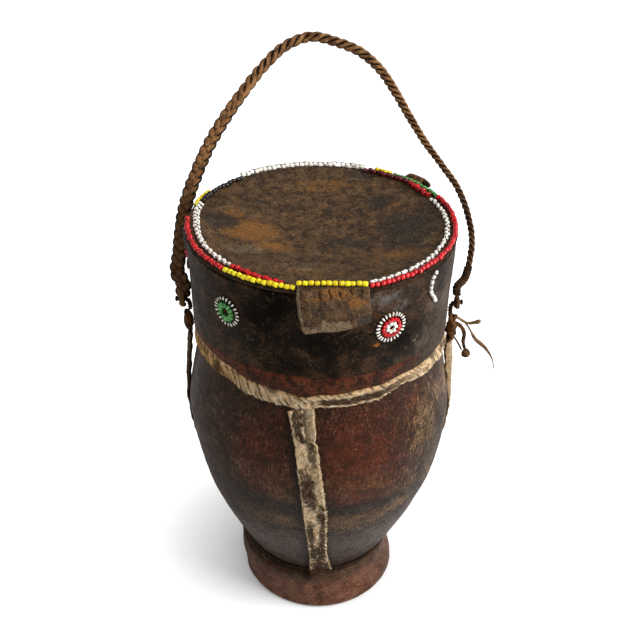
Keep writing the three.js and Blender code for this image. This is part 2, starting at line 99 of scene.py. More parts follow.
# %% [markdown]
# ## Sizes from the frame
#
# A piece that replaces a node has to lie where the node lies. The main radii and heights are read from the
# nodes' boxes. The few sizes that a box doesn't show, such as the waist, repeat the model's own values.

# %% Sizes, in millimetres


def node_box(node):
    low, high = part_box(node)
    return np.array(low) / MM, np.array(high) / MM


def node_middle(node):
    """The middle of a node's box and half its size."""
    low, high = node_box(node)
    return (low + high) / 2, (high - low) / 2


SEAT = 0.3  # between two pieces that touch on the real object
FOOT_HEIGHT = 28
FOOT_TOP_RADIUS = 48.9
FOOT_BEVEL = 3
WAIST_RADIUS = 46.2
WAIST_HEIGHT = 32.5
BELLY_HEIGHT = 145
SHOULDER_RADIUS = 71
NECK_RADIUS = 70.6
NECK_INNER = 63.6
VESSEL_WALL = 8
FLOOR_HEIGHT = 41
CAP_INNER = 71.8
RIM_BAND = 8.8
RIM_SLOPE = 0.5
DISH_DEPTH = 6.7
TOP_THICKNESS = 2.4
FOOT_RADIUS = 50.5
CAP_FLARE = 1.6

BELLY_RADIUS, _, MOUTH_HEIGHT = node_box("wooden_vessel")[1]
CAP_BOTTOM = node_box("cap_wall")[0][2]
CAP_OUTER_TOP, _, WALL_TOP = node_box("cap_wall")[1]
CAP_OUTER_BOTTOM = CAP_OUTER_TOP - CAP_FLARE
TOP_RADIUS, _, CAP_TOP = node_box("cap_top")[1]
PIVOT_HEIGHT = node_middle("handle_loop_left")[0][2]
print("belly radius:", round(BELLY_RADIUS, 1), "cap from", round(CAP_BOTTOM, 1), "to", round(CAP_TOP, 1))

# %% [markdown]
# ## Helpers for shapes
#
# Every new piece is a grid of points: a shape is a function of two numbers, such as the way round and the
# way up, and numpy works it out for the whole grid at once. A body is kept as three arrays: its points, its
# four-cornered faces and its triangles.

# %% Faces of a grid


def grid_faces(rows, columns, ring=True, loop=False):
    """Faces between neighbours of a grid of rows and columns. A ring joins the last column to the first, and
    a loop joins the last row to the first. Columns run anticlockwise seen from the row that follows."""
    i = np.arange(rows if loop else rows - 1)[:, None]
    j = np.arange(columns if ring else columns - 1)[None, :]
    after, beside = (i + 1) % rows, (j + 1) % columns
    corners = [i * columns + j, i * columns + beside, after * columns + beside, after * columns + j]
    return np.stack(corners, -1).reshape(-1, 4)


def facing_out(points, quads, triangles):
    """The body with its faces turned outwards. Over all triangles the sum of p0 · (p1 × p2) is six times the
    volume, and it is negative when the faces look inwards."""
    corners = points[np.concatenate([quads[:, :3], quads[:, [0, 2, 3]], triangles])]
    if np.sum(corners[:, 0] * np.cross(corners[:, 1], corners[:, 2])) < 0:
        quads, triangles = quads[:, ::-1], triangles[:, ::-1]
    return points, quads, triangles


def capped(rings):
    """A closed body from rings of points (rows, columns, 3): walls between them and a fan over each end."""
    rows, columns = rings.shape[:2]
    points = np.concatenate([rings.reshape(-1, 3), rings[:1].mean(1), rings[-1:].mean(1)])
    j = np.arange(columns)
    beside = (j + 1) % columns
    last = (rows - 1) * columns
    start = np.stack([np.full(columns, rows * columns), beside, j], 1)
    end = np.stack([np.full(columns, rows * columns + 1), last + j, last + beside], 1)
    return facing_out(points, grid_faces(rows, columns), np.concatenate([start, end]))


def looped(rings):
    """A closed body like a bracelet: the last ring joins the first."""
    rows, columns = rings.shape[:2]
    return facing_out(rings.reshape(-1, 3), grid_faces(rows, columns, loop=True), np.zeros((0, 3), int))


def join(bodies):
    """Several bodies as one: their points are stacked, and faces count on from the points before them."""
    starts = np.cumsum([0] + [len(points) for points, _, _ in bodies[:-1]])
    points = np.concatenate([body[0] for body in bodies])
    quads = np.concatenate([body[1] + start for body, start in zip(bodies, starts)])
    triangles = np.concatenate([body[2] + start for body, start in zip(bodies, starts)])
    return points, quads, triangles


print("a 3 by 4 ring has", len(grid_faces(3, 4)), "faces")

# %% [markdown]
# Directions round the object are azimuths in degrees from +X, so the front is at -90. Hand-made things are
# never even, so a smooth unevenness is needed too. A sum of sine waves in seeded directions gives one that
# is the same each run. Round the object it is read on a cylinder near its surface, and on a strip at the
# places across and along it.

# %% Places, lines and unevenness


def polar(azimuth, radius, z):
    """Points at an azimuth in degrees, a distance from the axis and a height."""
    turn = np.radians(azimuth)
    parts = np.broadcast_arrays(radius * np.cos(turn), radius * np.sin(turn), np.asarray(z, float))
    return np.stack(parts, -1)


def unit(vectors):
    return vectors / np.maximum(np.linalg.norm(vectors, axis=-1, keepdims=True), 1e-9)


def around(count):
    """Azimuths spread evenly round the object."""
    return np.arange(count) * 360 / count


def whole_turn(count):
    """Angles in radians spread evenly over one turn."""
    return np.arange(count) * 2 * np.pi / count


def bell(distance):
    """A bell curve: 1 at the middle, a third at 1 and nearly nothing at 2."""
    return np.exp(-(distance**2))


def between(low, high, share):
    return low + (high - low) * share


def ease(share):
    """0 to 1 with a soft start and end: three times the square less twice the cube."""
    share = np.clip(share, 0, 1)
    return share * share * (3 - 2 * share)


def rounded(share):
    """A quarter circle: it leaves 0 steeply and reaches 1 level."""
    return np.sqrt(1 - (1 - share) ** 2)


def ripples(points, wavelength, seed, waves=9):
    """Smooth values round 0, mostly within 1: a sum of sine waves with seeded directions and phases."""
    rng = np.random.default_rng(seed)
    steps = unit(rng.normal(size=(waves, 3))) * rng.uniform(0.7, 1.5, (waves, 1)) * (2 * np.pi / wavelength)
    phases = rng.uniform(0, 2 * np.pi, waves)
    return np.sin(points @ steps.T + phases).sum(-1) * math.sqrt(2 / waves) * 0.6


RIPPLE_RADIUS = 75.0


def round_ripples(azimuth, z, wavelength, seed, stretch=(1, 1, 1)):
    """Unevenness at places round the object."""
    return ripples(polar(azimuth, RIPPLE_RADIUS, z) * stretch, wavelength, seed)


def strip_ripples(across, along, wavelength, seed):
    """Unevenness at places across and along a strip."""
    across, along = np.broadcast_arrays(across, along)
    return ripples(np.stack([across, along, 0 * along], -1), wavelength, seed)


def from_azimuth(azimuth, middle):
    """How many degrees an azimuth lies from a middle one, the short way round."""
    return (np.asarray(azimuth) - middle + 180) % 360 - 180


def round_table(azimuth, table):
    """Reads (azimuth, value) points in order from -180 to 180, eased from one point to the next."""
    places, values = np.array(table, float).T
    at = from_azimuth(azimuth, 0)
    after = np.clip(np.searchsorted(places, at), 1, len(places) - 1)
    share = ease((at - places[after - 1]) / (places[after] - places[after - 1]))
    return between(values[after - 1], values[after], share)


def spread(low, high, count):
    return np.linspace(low, high, count)


def stretched(values, count):
    """Count values read evenly from a short list, in straight lines between its entries."""
    return np.interp(spread(0, 1, count), spread(0, 1, len(values)), values)


def length_along(path):
    return np.concatenate([[0], np.cumsum(np.linalg.norm(np.diff(path, axis=0), axis=1))])


def resampled(line, places, count):
    """Count points of a line, evenly spaced in the places that its own points have."""
    at = spread(0, places[-1], count)
    return np.stack([np.interp(at, places, line[:, k]) for k in range(3)], 1)


def curve(points, count):
    """An evenly spaced smooth line through given points: cubics whose slope at each point is the
    slope between its neighbours, then a resampling by length."""
    points = np.asarray(points, float)
    reach = length_along(points)
    slopes = np.gradient(points, reach, axis=0)
    share = spread(0, 1, 25)[None, :-1, None]
    span = np.diff(reach)[:, None, None]
    a, b, s, e = points[:-1, None], points[1:, None], slopes[:-1, None], slopes[1:, None]
    line = a * (1 - share) ** 2 * (1 + 2 * share) + b * share**2 * (3 - 2 * share)
    line = line + span * (s * share * (1 - share) ** 2 - e * share**2 * (1 - share))
    line = np.concatenate([line.reshape(-1, 3), points[-1:]])
    return resampled(line, length_along(line), count)


def sweep(path, facing, sections):
    """Carries a cross-section along a path. facing is the way its second axis leans, and sections holds
    (sideways, outward) distances. Sideways is facing crossed with the path, outward is square to both."""
    along = heading(path)
    side = unit(np.cross(np.broadcast_to(facing, path.shape), along))
    out = np.cross(along, side)
    sections = np.broadcast_to(sections, (len(path),) + sections.shape[-2:])
    return path[:, None] + sections[..., :1] * side[:, None] + sections[..., 1:] * out[:, None]


def ellipse(half_width, half_thickness, sides):
    """Ellipses of given half sizes, which may be one number or one for each place along a path."""
    turn = whole_turn(sides)
    width, thickness = np.broadcast_arrays(np.atleast_1d(half_width), np.atleast_1d(half_thickness))
    return np.stack([width[:, None] * np.cos(turn), thickness[:, None] * np.sin(turn)], -1)


def thong(path, facing, radius, sides=8, flat=1.0, lumps=0.0, seed=0):
    """A leather thong along a path. Its radius may change along it, lumps makes it uneven, and each end is
    drawn in to a rounded tip by shrinking the last rings."""
    count = len(path)
    reach = length_along(path)
    radius = np.broadcast_to(np.asarray(radius, float), (count,)) * (1 + lumps * ripples(path, 5, seed))
    nearest = np.minimum(reach, reach[-1] - reach)
    tip = np.sqrt(np.clip(1 - (1 - np.clip(nearest / np.maximum(radius, 0.1), 0, 1)) ** 2, 0.04, 1))
    return capped(sweep(path, facing, ellipse(radius * tip, radius * tip * flat, sides)))


def heading(path):
    """The direction of a path at each point."""
    return unit(np.gradient(path, axis=0))


def outward(path):
    """The level direction away from the axis at each point."""
    return unit(path * [1, 1, 0])


print("unevenness at the origin:", round(float(ripples(np.zeros(3), 10, 1)), 3))

# %% [markdown]
# One function turns a body into a Blender piece. It scales the points to metres, stores extra numbers that
# the materials read, tells the frame which CAD body the piece moves with, and hides the nodes it stands for.

# %% Make a piece


def new_object(name, points, faces, materials):
    """A mesh in the scene, from points in millimetres."""
    mesh = bpy.data.meshes.new(name)
    mesh.from_pydata((points * MM).tolist(), [], faces)
    for material in materials:
        mesh.materials.append(material)
    return add_to_scene(name, mesh)


def piece(name, body, replaced, materials, shape, values, second=None):
    """A piece from a body that stands for the replaced nodes. values are attributes by name, one number for
    each point. second marks the faces that use the second material."""
    points, quads, triangles = shape
    made = new_object(name, points, quads.tolist() + triangles.tolist(), materials)
    for attribute, numbers in values.items():
        layer = made.data.attributes.new(attribute, "FLOAT", "POINT")
        layer.data.foreach_set("value", np.asarray(numbers, np.float32).ravel())
    if second is not None:
        made.data.polygons.foreach_set("material_index", np.asarray(second, np.int32))
    made.data.shade_smooth()
    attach(made, body)
    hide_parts(*replaced)
    print(f"{name}: {2 * len(quads) + len(triangles)} triangles")


def same_all_over(shape, **values):
    """Stored numbers that are the same at every point of a body."""
    return {name: np.full(len(shape[0]), value) for name, value in values.items()}


def spot(first, second, place, size):
    """A soft spot: a bell curve over two distances from its place, as shares of its half sizes."""
    return np.exp(-(((first - place[0]) / size[0]) ** 2 + ((second - place[1]) / size[1]) ** 2))


# %% [markdown]
# ## Helpers for materials
#
# A material is a small network of nodes. What a node puts out is kept as a wire, and a sum, a difference or
# a product of wires adds the node that works it out, so a network reads like a sum. Colours are written as
# everyday 0 to 255 values and turned into the linear light that the shader works in.

# %% A short way to write nodes


def colour(red, green, blue):
    """The linear colour of an everyday 0 to 255 value."""
    share = np.array([red, green, blue]) / 255
    linear = np.where(share <= 0.04045, share / 12.92, ((share + 0.055) / 1.055) ** 2.4)
    return (*linear.tolist(), 1.0)


class Wire:
    """What a node puts out."""

    def __init__(self, board, socket):
        self.board = board
        self.socket = socket

    def math(self, operation, first, second):
        return self.board.add("Math", {0: first, 1: second}, operation=operation)

    def __add__(self, other):
        return self.math("ADD", self, other)

    def __sub__(self, other):
        return self.math("SUBTRACT", self, other)

    def __rsub__(self, other):
        return self.math("SUBTRACT", other, self)

    def __mul__(self, other):
        return self.math("MULTIPLY", self, other)

    def __rtruediv__(self, other):
        return self.math("DIVIDE", other, self)

    __radd__ = __add__
    __rmul__ = __mul__

    def step(self, low, high):
        """0 below low, 1 above high and eased between."""
        inputs = {"Value": self, "From Min": low, "From Max": high}
        return self.board.add("MapRange", inputs, interpolation_type="SMOOTHSTEP")

    def paint(self, over, mask):
        """This colour with another one laid over it, as far as mask says."""
        return self.board.mix(mask, self, over)

    def painted(self, layers):
        """This colour under layers of (colour, mask), from the lowest to the topmost."""
        shade = self
        for over, mask in layers:
            shade = shade.paint(over, mask)
        return shade


class Board:
    """Adds nodes to one tree. place is what its patterns are laid out on, in millimetres."""

    def __init__(self, tree):
        self.tree = tree
        self.place = None

    def put(self, socket, value):
        if isinstance(value, Wire):
            self.tree.links.new(value.socket, socket)
        else:
            socket.default_value = value

    def outputs(self, kind, inputs=None, **settings):
        """All outputs of a new node. Its inputs are numbers, colours or wires, by name or by number."""
        node = self.tree.nodes.new("ShaderNode" + kind)
        for setting, value in settings.items():
            setattr(node, setting, value)
        for key, value in (inputs or {}).items():
            self.put(node.inputs[key], value)
        return node.outputs

    def add(self, kind, inputs=None, output=0, **settings):
        return Wire(self, self.outputs(kind, inputs, **settings)[output])

    def mix(self, mask, first, second):
        return self.add("Mix", {0: mask, 6: first, 7: second}, 2, data_type="RGBA")

    def noise(self, size, detail=4.0, roughness=0.6, vector=None, output="Fac"):
        """Noise whose blotches are about size millimetres across."""
        inputs = {"Vector": vector or self.place, "Scale": 1 / size, "Detail": detail, "Roughness": roughness}
        return self.add("TexNoise", inputs, output)

    def vector(self, operation, first, second):
        """Vector arithmetic: second is a vector, or the factor of a scaling."""
        key = "Scale" if operation == "SCALE" else 1
        return self.add("VectorMath", {0: first, key: second}, operation=operation)

    def value(self, name):
        """A number stored on the mesh."""
        return self.add("Attribute", None, "Fac", attribute_name=name)

    def group(self, tree, **inputs):
        """What a shared group puts out, by name."""
        outputs = self.outputs("Group", {"Vector": self.place, **inputs}, node_tree=tree)
        return {socket.name: Wire(self, socket) for socket in outputs}


def new_group(name, sizes, outputs):
    """An empty node group: its board, its inputs and its outputs. It reads a vector and the numbers in
    sizes, which come with their default values."""
    tree = bpy.data.node_groups.new(name, "ShaderNodeTree")
    tree.interface.new_socket(name="Vector", in_out="INPUT", socket_type="NodeSocketVector")
    for label, default in sizes.items():
        socket = tree.interface.new_socket(name=label, in_out="INPUT", socket_type="NodeSocketFloat")
        socket.default_value = default
    for label in outputs:
        tree.interface.new_socket(name=label, in_out="OUTPUT", socket_type="NodeSocketFloat")
    board = Board(tree)
    into = {socket.name: Wire(board, socket) for socket in tree.nodes.new("NodeGroupInput").outputs}
    board.place = into["Vector"]
    return board, into, tree.nodes.new("NodeGroupOutput").inputs


GREASE_TINT = (1.0, 0.68, 0.45, 1)
MATT = 0.12  # how strongly handled leather and wood reflect, where clean glass has 0.5


class Look(Board):
    """A material and its board. mirror is how strongly it reflects, and tint the colour that old grease
    gives to that."""

    def __init__(self, name, roughness, mirror=MATT, tint=GREASE_TINT):
        self.material = bpy.data.materials.new(name)
        self.material.use_nodes = True
        super().__init__(self.material.node_tree)
        self.shader = next(node for node in self.tree.nodes if node.type == "BSDF_PRINCIPLED").inputs
        finish = {"Roughness": roughness, "Specular IOR Level": mirror, "Specular Tint": tint}
        for socket, value in finish.items():
            self.put(self.shader[socket], value)
        self.place = self.vector("SCALE", self.add("TexCoord", None, "Object"), 1 / MM)

    def dress(self, shade, roughness=None, height=None, depth=0.0):
        """The finished material: its colour, its roughness and its relief, where a height from 0 to 1 stands
        for depth millimetres."""
        self.put(self.shader["Base Color"], shade)
        if roughness is not None:
            self.put(self.shader["Roughness"], roughness)
        if height is not None:
            inputs = {"Height": height, "Strength": 1.0, "Distance": depth * MM}
            self.put(self.shader["Normal"], self.add("Bump", inputs))
        print("material:", self.material.name)
        return self.material


print("a mid grey of 128 is", round(colour(128, 128, 128)[0], 3), "in linear light")

# %% [markdown]
# ## Effects that several materials share
#
# Five things come back on almost every surface here: blotches where handling has changed the colour, fine
# crossing tool marks, specks, thin scratches, and the pores and creases of leather. Each is a node group
# with its own inputs, so one build serves every material at its own scale.

# %% Blotches


def blotch_group():
    """Soft blotches broken up by finer ones: noise with much detail, then a threshold."""
    board, into, out = new_group("blotches", {"Size": 20.0, "Cover": 0.5, "Edge": 0.08}, ["Mask"])
    level = 1.0 - into["Cover"]
    noise = board.noise(into["Size"], 6.0, 0.62)
    board.put(out["Mask"], noise.step(level - into["Edge"], level + into["Edge"]))
    return board.tree


BLOTCHES = blotch_group()
print("group:", BLOTCHES.name)

# %% Crossing tool marks


def hatch_group():
    """Fine marks across and down: noise drawn out sideways and noise drawn out in height."""
    board, into, out = new_group("tool_marks", {"Size": 1.0}, ["Height", "Across", "Down"])
    lines = {}
    for name, stretch in (("Across", (0.3, 0.3, 1.0)), ("Down", (1.0, 1.0, 0.16))):
        drawn = board.vector("MULTIPLY", into["Vector"], stretch)
        lines[name] = board.noise(into["Size"], 3.0, 0.55, drawn)
        board.put(out[name], lines[name].step(0.4, 0.6))
    board.put(out["Height"], (lines["Across"] + lines["Down"]) * 0.5)
    return board.tree


TOOL_MARKS = hatch_group()
print("group:", TOOL_MARKS.name)

# %% Specks


def speck_group():
    """Fine dark pits and pale flecks: two noises of about a millimetre, each cut off at its high end."""
    board, into, out = new_group("specks", {"Size": 1.0}, ["Dark", "Pale"])
    moved = board.vector("ADD", into["Vector"], (31.0, 17.0, 5.0))
    board.put(out["Dark"], board.noise(into["Size"], 4.0, 0.75).step(0.47, 0.57))
    board.put(out["Pale"], board.noise(into["Size"], 4.0, 0.75, moved).step(0.51, 0.6))
    return board.tree


SPECKS = speck_group()
print("group:", SPECKS.name)

# %% Scratches


def scratch_group():
    """Thin wandering lines: the places where a noise passes through its middle value, kept only where
    another noise is high. Three layers are turned different ways so that the lines cross."""
    board, into, out = new_group("scratches", {"Size": 12.0, "Width": 0.012, "Cover": 0.5}, ["Mask"])
    level = 1.0 - into["Cover"]
    both = None
    for turn, offset in ((0.5, 0.0), (-0.7, 40.0), (1.3, 90.0)):
        turned = board.add("VectorRotate", {"Vector": into["Vector"], "Angle": turn}, rotation_type="Y_AXIS")
        moved = board.vector("ADD", turned, (offset,) * 3)
        drawn = board.vector("MULTIPLY", moved, (0.25, 0.25, 1.0))
        line = board.noise(into["Size"], 1.0, 0.4, drawn)
        thin = 1.0 - line.math("ABSOLUTE", line - 0.5, 0.0).step(0.0, into["Width"])
        layer = thin * board.noise(into["Size"], 2.0, 0.5, moved).step(level, level + 0.05)
        both = layer.math("MAXIMUM", both, layer) if both else layer
    board.put(out["Mask"], both)
    return board.tree


SCRATCHES = scratch_group()
print("group:", SCRATCHES.name)

# %% Leather grain


def grain_group():
    """Pores and creases: the distance to the edges of uneven cells, with fine noise on top."""
    board, into, out = new_group("leather_grain", {"Size": 1.2}, ["Height", "Crease"])
    scale = 1.0 / into["Size"]
    bent = board.add("TexNoise", {"Vector": into["Vector"], "Scale": scale * 0.5, "Detail": 2.0}, "Color")
    vector = board.vector("ADD", into["Vector"], board.vector("SCALE", bent, into["Size"]))
    inputs = {"Vector": vector, "Scale": scale}
    cells = board.add("TexVoronoi", inputs, "Distance", feature="DISTANCE_TO_EDGE")
    crease = cells.step(0.0, 0.16)
    fine = board.add("TexNoise", {"Vector": into["Vector"], "Scale": scale * 3.0, "Detail": 3.0}, "Fac")
    board.put(out["Height"], crease * 0.6 + fine * 0.4)
    board.put(out["Crease"], 1.0 - crease)
    return board.tree


GRAIN = grain_group()
print("group:", GRAIN.name)

# %% [markdown]
# ## The wood
#
# The vessel was rubbed with ochre and grease and handled for years. The colour is dark brown, red where the
# ochre stays, tan where it has worn through to bare wood, blue-black in a band low on the belly and grey
# under that. Near the right edge some of the tan is a painted highlight. The grey low on the belly is partly
# a painted sheen, and the grey on its left side is a painted sheen. Along the front strap's left edge the
# wood carries a painted shadow. The large patches come from numbers stored on the mesh, because they have
# their places, and noise only breaks their edges.

# %% Wood material
WOOD_DEEP = colour(22, 14, 11)
WOOD_BROWN = colour(66, 41, 29)
WOOD_RED = colour(92, 37, 25)
WOOD_ORANGE = colour(132, 74, 42)
WOOD_RUST = colour(106, 64, 36)
WOOD_TAN = colour(146, 112, 76)
WOOD_OLIVE = colour(108, 84, 56)
WOOD_BAND = colour(24, 25, 25)
WOOD_GREY_AND_SHEEN = colour(96, 86, 80)
WOOD_FOOT = colour(94, 52, 38)
WOOD_FOOT_PALE = colour(124, 84, 67)
WOOD_FOOT_DARK = colour(52, 44, 34)
WOOD_BARE = colour(116, 84, 54)


def wood_material():
    look = Look("wood", 0.45)
    marks, specks = look.group(TOOL_MARKS, Size=0.9), look.group(SPECKS, Size=1.3)
    broken = (look.noise(8, 7, 0.75) - 0.5) * 1.8 + (look.noise(1.8, 5, 0.8) - 0.5) * 1.6
    edge = broken + (marks["Down"] - 0.5) * 0.34

    def patch(name, soft):
        """A stored patch with its edge broken up."""
        return (look.value(name) + edge).step(0.5 - soft, 0.5 + soft)

    shade = look.mix(look.noise(11, 7, 0.75).step(0.42, 0.6), WOOD_DEEP, WOOD_BROWN)
    red = patch("red", 0.34) * 0.9
    glow = red * look.noise(2.6, 6, 0.8).step(0.52, 0.66)
    foot = look.mix(look.noise(7, 7, 0.78).step(0.4, 0.6), WOOD_FOOT, WOOD_FOOT_PALE)
    layers = [
        (WOOD_RED, red), (WOOD_ORANGE, glow * 0.6), (WOOD_RUST, patch("rusty", 0.36) * 0.8),
        (WOOD_OLIVE, patch("olive", 0.3) * 0.9), (foot, patch("foot", 0.2)),
        (WOOD_FOOT_DARK, patch("foot_dark", 0.4) * 0.85), (WOOD_BAND, patch("band", 0.25)),
        (WOOD_GREY_AND_SHEEN, patch("grey", 0.4) * 0.85), (WOOD_TAN, patch("tan", 0.3) * 0.8),
        (WOOD_BARE, patch("bare", 0.2)), (WOOD_TAN, specks["Pale"] * 0.16),
    ]
    shade = shade.painted(layers)
    carved = 1.0 - look.value("foot") * 0.35
    sooty = look.group(BLOTCHES, Size=11.0, Cover=0.44, Edge=0.1)["Mask"]
    shade = shade.paint(WOOD_DEEP, sooty * 0.66 * carved)
    worn = (1.0 - marks["Across"]) * 0.3 + (1.0 - marks["Down"]) * 0.15 + specks["Dark"] * 0.42
    # The last layer is a painted shadow of the front strap along its left edge.
    shade = shade.paint(WOOD_DEEP, worn * carved).paint(WOOD_DEEP, look.value("grime_and_painted_shade"))
    relief = marks["Height"] * carved - specks["Dark"] * 0.3
    return look.dress(shade, look.noise(9, 4) * 0.26 + 0.3, relief, 0.45)


wood = wood_material()

# %% [markdown]
# ## The vessel
#
# The vessel is turned by eye with an adze, not on a lathe, so it is round but not quite. Its outline is a
# profile of radius and height. The radius of each point then gets slow dents, finer adze facets and, at the
# foot, one fuller side. Modelling the unevenness in the mesh keeps it in the outline, which a bump can't do.

# %% Vessel radius


def vessel_radius(z):
    """The even outline. From the waist to the belly the radius grows as a quarter sine wave, and from the
    belly to the shoulder it shrinks by a gentle power curve."""
    z = np.asarray(z, float)
    rise = np.clip((z - WAIST_HEIGHT) / (BELLY_HEIGHT - WAIST_HEIGHT), 0, 1)
    lower = between(WAIST_RADIUS, BELLY_RADIUS, np.sin(np.pi / 2 * rise**0.94))
    drop = np.clip((z - BELLY_HEIGHT) / (CAP_BOTTOM - BELLY_HEIGHT), 0, 1)
    upper = between(BELLY_RADIUS, SHOULDER_RADIUS, drop**1.2)
    return np.where(z <= BELLY_HEIGHT, lower, np.where(z <= CAP_BOTTOM, upper, NECK_RADIUS))


def carving(azimuth, z):
    """Dents left by hand: long swells, adze facets, and a foot that is fuller at its right front below and
    at its left above."""
    swell = 0.5 * round_ripples(azimuth, z, 75, 11)
    facets = 0.16 * round_ripples(azimuth, z, 15, 12, (1, 1, 0.55))
    facets = facets + 0.07 * round_ripples(azimuth, z, 7, 13, (1, 1, 2.4))
    quiet = np.where(z > CAP_BOTTOM + 1, 0.3, 1.0)
    above = FOOT_HEIGHT + 3 - z
    fuller = 1.1 * np.cos(np.radians(from_azimuth(azimuth, -42))) * ease(above / 8)
    upper = (3.4 * np.cos(np.radians(from_azimuth(azimuth, 180))) - 0.2) * ease((z - 6) / 12)
    return (swell + facets) * quiet * ease(z / 4) + (fuller + upper * ease(above / 4))


def vessel_skin(azimuth, z):
    return vessel_radius(z) + carving(azimuth, z)


print("radius at the belly:", float(vessel_radius(BELLY_HEIGHT).round(1)))

# %% Vessel piece
VESSEL_COLUMNS = 330


def bend(centre_radius, centre_height, radius, start, end, count):
    """Points on a rounded edge in the plane of radius and height, from one angle to another in degrees."""
    turn = np.radians(spread(start, end, count))
    return np.stack([centre_radius + radius * np.cos(turn), centre_height + radius * np.sin(turn)], 1)


def vessel_profile():
    """Radius and height along the outline: underside, foot, waist, belly, neck, lip, inside and floor."""
    foot_side = spread(FOOT_BEVEL, FOOT_HEIGHT - 1.5, 26)
    foot_slope = (FOOT_RADIUS - FOOT_TOP_RADIUS) / FOOT_HEIGHT
    belly = spread(WAIST_HEIGHT + 0.6, CAP_BOTTOM, 165)
    neck = spread(CAP_BOTTOM + 3, MOUTH_HEIGHT - 3, 14)
    inside = spread(MOUTH_HEIGHT - 3, FLOOR_HEIGHT + VESSEL_WALL + 2, 32)
    even = np.where(inside > CAP_BOTTOM, NECK_INNER, vessel_radius(inside) - VESSEL_WALL)
    hollow = np.minimum(even, NECK_INNER + (CAP_BOTTOM - inside).clip(0) * 2)
    corner = hollow[-1]
    rounding = VESSEL_WALL + 2
    parts = [
        [[FOOT_RADIUS * share, 0] for share in (0.02, 0.35, 0.65, 0.85)],
        bend(FOOT_RADIUS - FOOT_BEVEL, FOOT_BEVEL, FOOT_BEVEL, -90, 0, 7),
        np.stack([FOOT_RADIUS - foot_slope * foot_side, foot_side], 1)[1:],
        bend(FOOT_TOP_RADIUS - 1.4, FOOT_HEIGHT - 1.4, 1.4, 10, 80, 6),
        bend(WAIST_RADIUS + 1.6, WAIST_HEIGHT - 1.2, 1.8, 250, 150, 8),
        np.stack([vessel_radius(belly), belly], 1),
        bend(NECK_RADIUS - 0.2, CAP_BOTTOM + 1.2, 0.6, 60, 20, 3),
        np.stack([0 * neck + NECK_RADIUS, neck], 1),
        bend(NECK_RADIUS - 2, MOUTH_HEIGHT - 2, 2, 0, 90, 6),
        bend(NECK_INNER + 2, MOUTH_HEIGHT - 2, 2, 90, 180, 6),
        np.stack([hollow, inside], 1),
        [[corner * share, FLOOR_HEIGHT + rounding * share**3] for share in (0.9, 0.7, 0.4, 0.02)],
    ]
    return np.concatenate([np.asarray(part, float) for part in parts])


def stored_patches(tables, first, second, distance=from_azimuth):
    """Soft patches by name. A place is (azimuth, height, half width in degrees, half height in millimetres,
    strength), or starts with x and y where distance is a plain difference. A patch fades as a bell curve, and
    where patches overlap the strongest one counts."""
    values = {}
    for name, places in tables.items():
        total = np.zeros(np.broadcast(first, second).shape)
        for middle, height, wide, high, strength in places:
            near = (distance(first, middle) / wide) ** 2 + ((second - height) / high) ** 2
            total = np.maximum(total, strength * np.exp(-0.7 * near))
        values[name] = total
    return values


WOOD_PATCHES = {
    "red": [
        (-72, 152, 19, 30, 0.95), (-70, 128, 18, 14, 0.8), (-116, 150, 17, 26, 0.62), (-48, 176, 14, 12, 0.6),
        (-110, 125, 12, 14, 0.6), (20, 140, 26, 30, 0.75), (80, 150, 24, 30, 0.8), (140, 140, 26, 30, 0.7),
        (-105, 178, 12, 10, 0.5), (200, 130, 14, 20, 0.5),
    ],
    "rusty": [
        (-70, 131, 17, 9, 0.7), (-56, 122, 10, 8, 0.6), (-106, 131, 11, 10, 0.6), (-122, 140, 8, 12, 0.4),
        (-46, 166, 8, 12, 0.4), (60, 128, 40, 10, 0.5), (150, 128, 30, 10, 0.45),
    ],
    # Near the right edge, from azimuth -36 to -5, the tan is a painted highlight; the other tan patches are
    # worn bare wood.
    "tan": [
        (-36, 160, 7, 16, 0.8), (-24, 168, 6, 10, 0.72), (-13, 166, 6, 14, 0.82), (-5, 178, 7, 14, 0.75),
        (-43, 148, 6, 11, 0.62), (-48, 118, 5, 9, 0.55), (-30, 116, 6, 12, 0.55), (-50, 103, 7, 6, 0.52),
        (100, 120, 10, 12, 0.5), (150, 165, 8, 12, 0.45),
    ],
    "olive": [
        (-72, 99, 26, 9, 0.85), (-104, 121, 9, 7, 0.6), (-108, 100, 20, 8, 0.6), (30, 100, 40, 9, 0.7),
        (110, 98, 40, 9, 0.7), (-30, 130, 12, 16, 0.4),
    ],
}

RING_BOTTOM = node_box("ring_strap")[0][2]
STRAP_TOP = RING_BOTTOM - 2 * SEAT
STRAP_BOTTOM = WAIST_HEIGHT
FRONT_STRAP_EDGES = np.array([
    (0, -16.6, -8.6), (0.05, -14.9, -8), (0.112, -13.5, -7.4), (0.13, -12.9, -0.8), (0.28, -10.5, 2.2),
    (0.48, -8, 4.5), (0.7, -5.4, 5.2), (0.82, -4.3, 6), (0.9, -4.3, 7.8), (1, -4.4, 9.3),
])


def front_strap_edges(share):
    """The sideways places of the front strap's left and right edges at a share of the way down."""
    places, left, right = FRONT_STRAP_EDGES.T
    return np.interp(share, places, left), np.interp(share, places, right)


def painted_shadow_beside_strap(azimuth, z):
    """0 to 1: a painted shadow on the wood along the front strap's left edge and, fainter, its right."""
    share = (STRAP_TOP - z) / (STRAP_TOP - STRAP_BOTTOM)
    sideways = np.radians(from_azimuth(azimuth, -90)) * vessel_radius(z)
    left, right = front_strap_edges(share)
    near = bell((sideways - left + 1.5) / 3.2) + 0.4 * bell((sideways - right - 1) / 2)
    return np.clip(near, 0, 1) * (share > -0.02) * (share < 1.05)


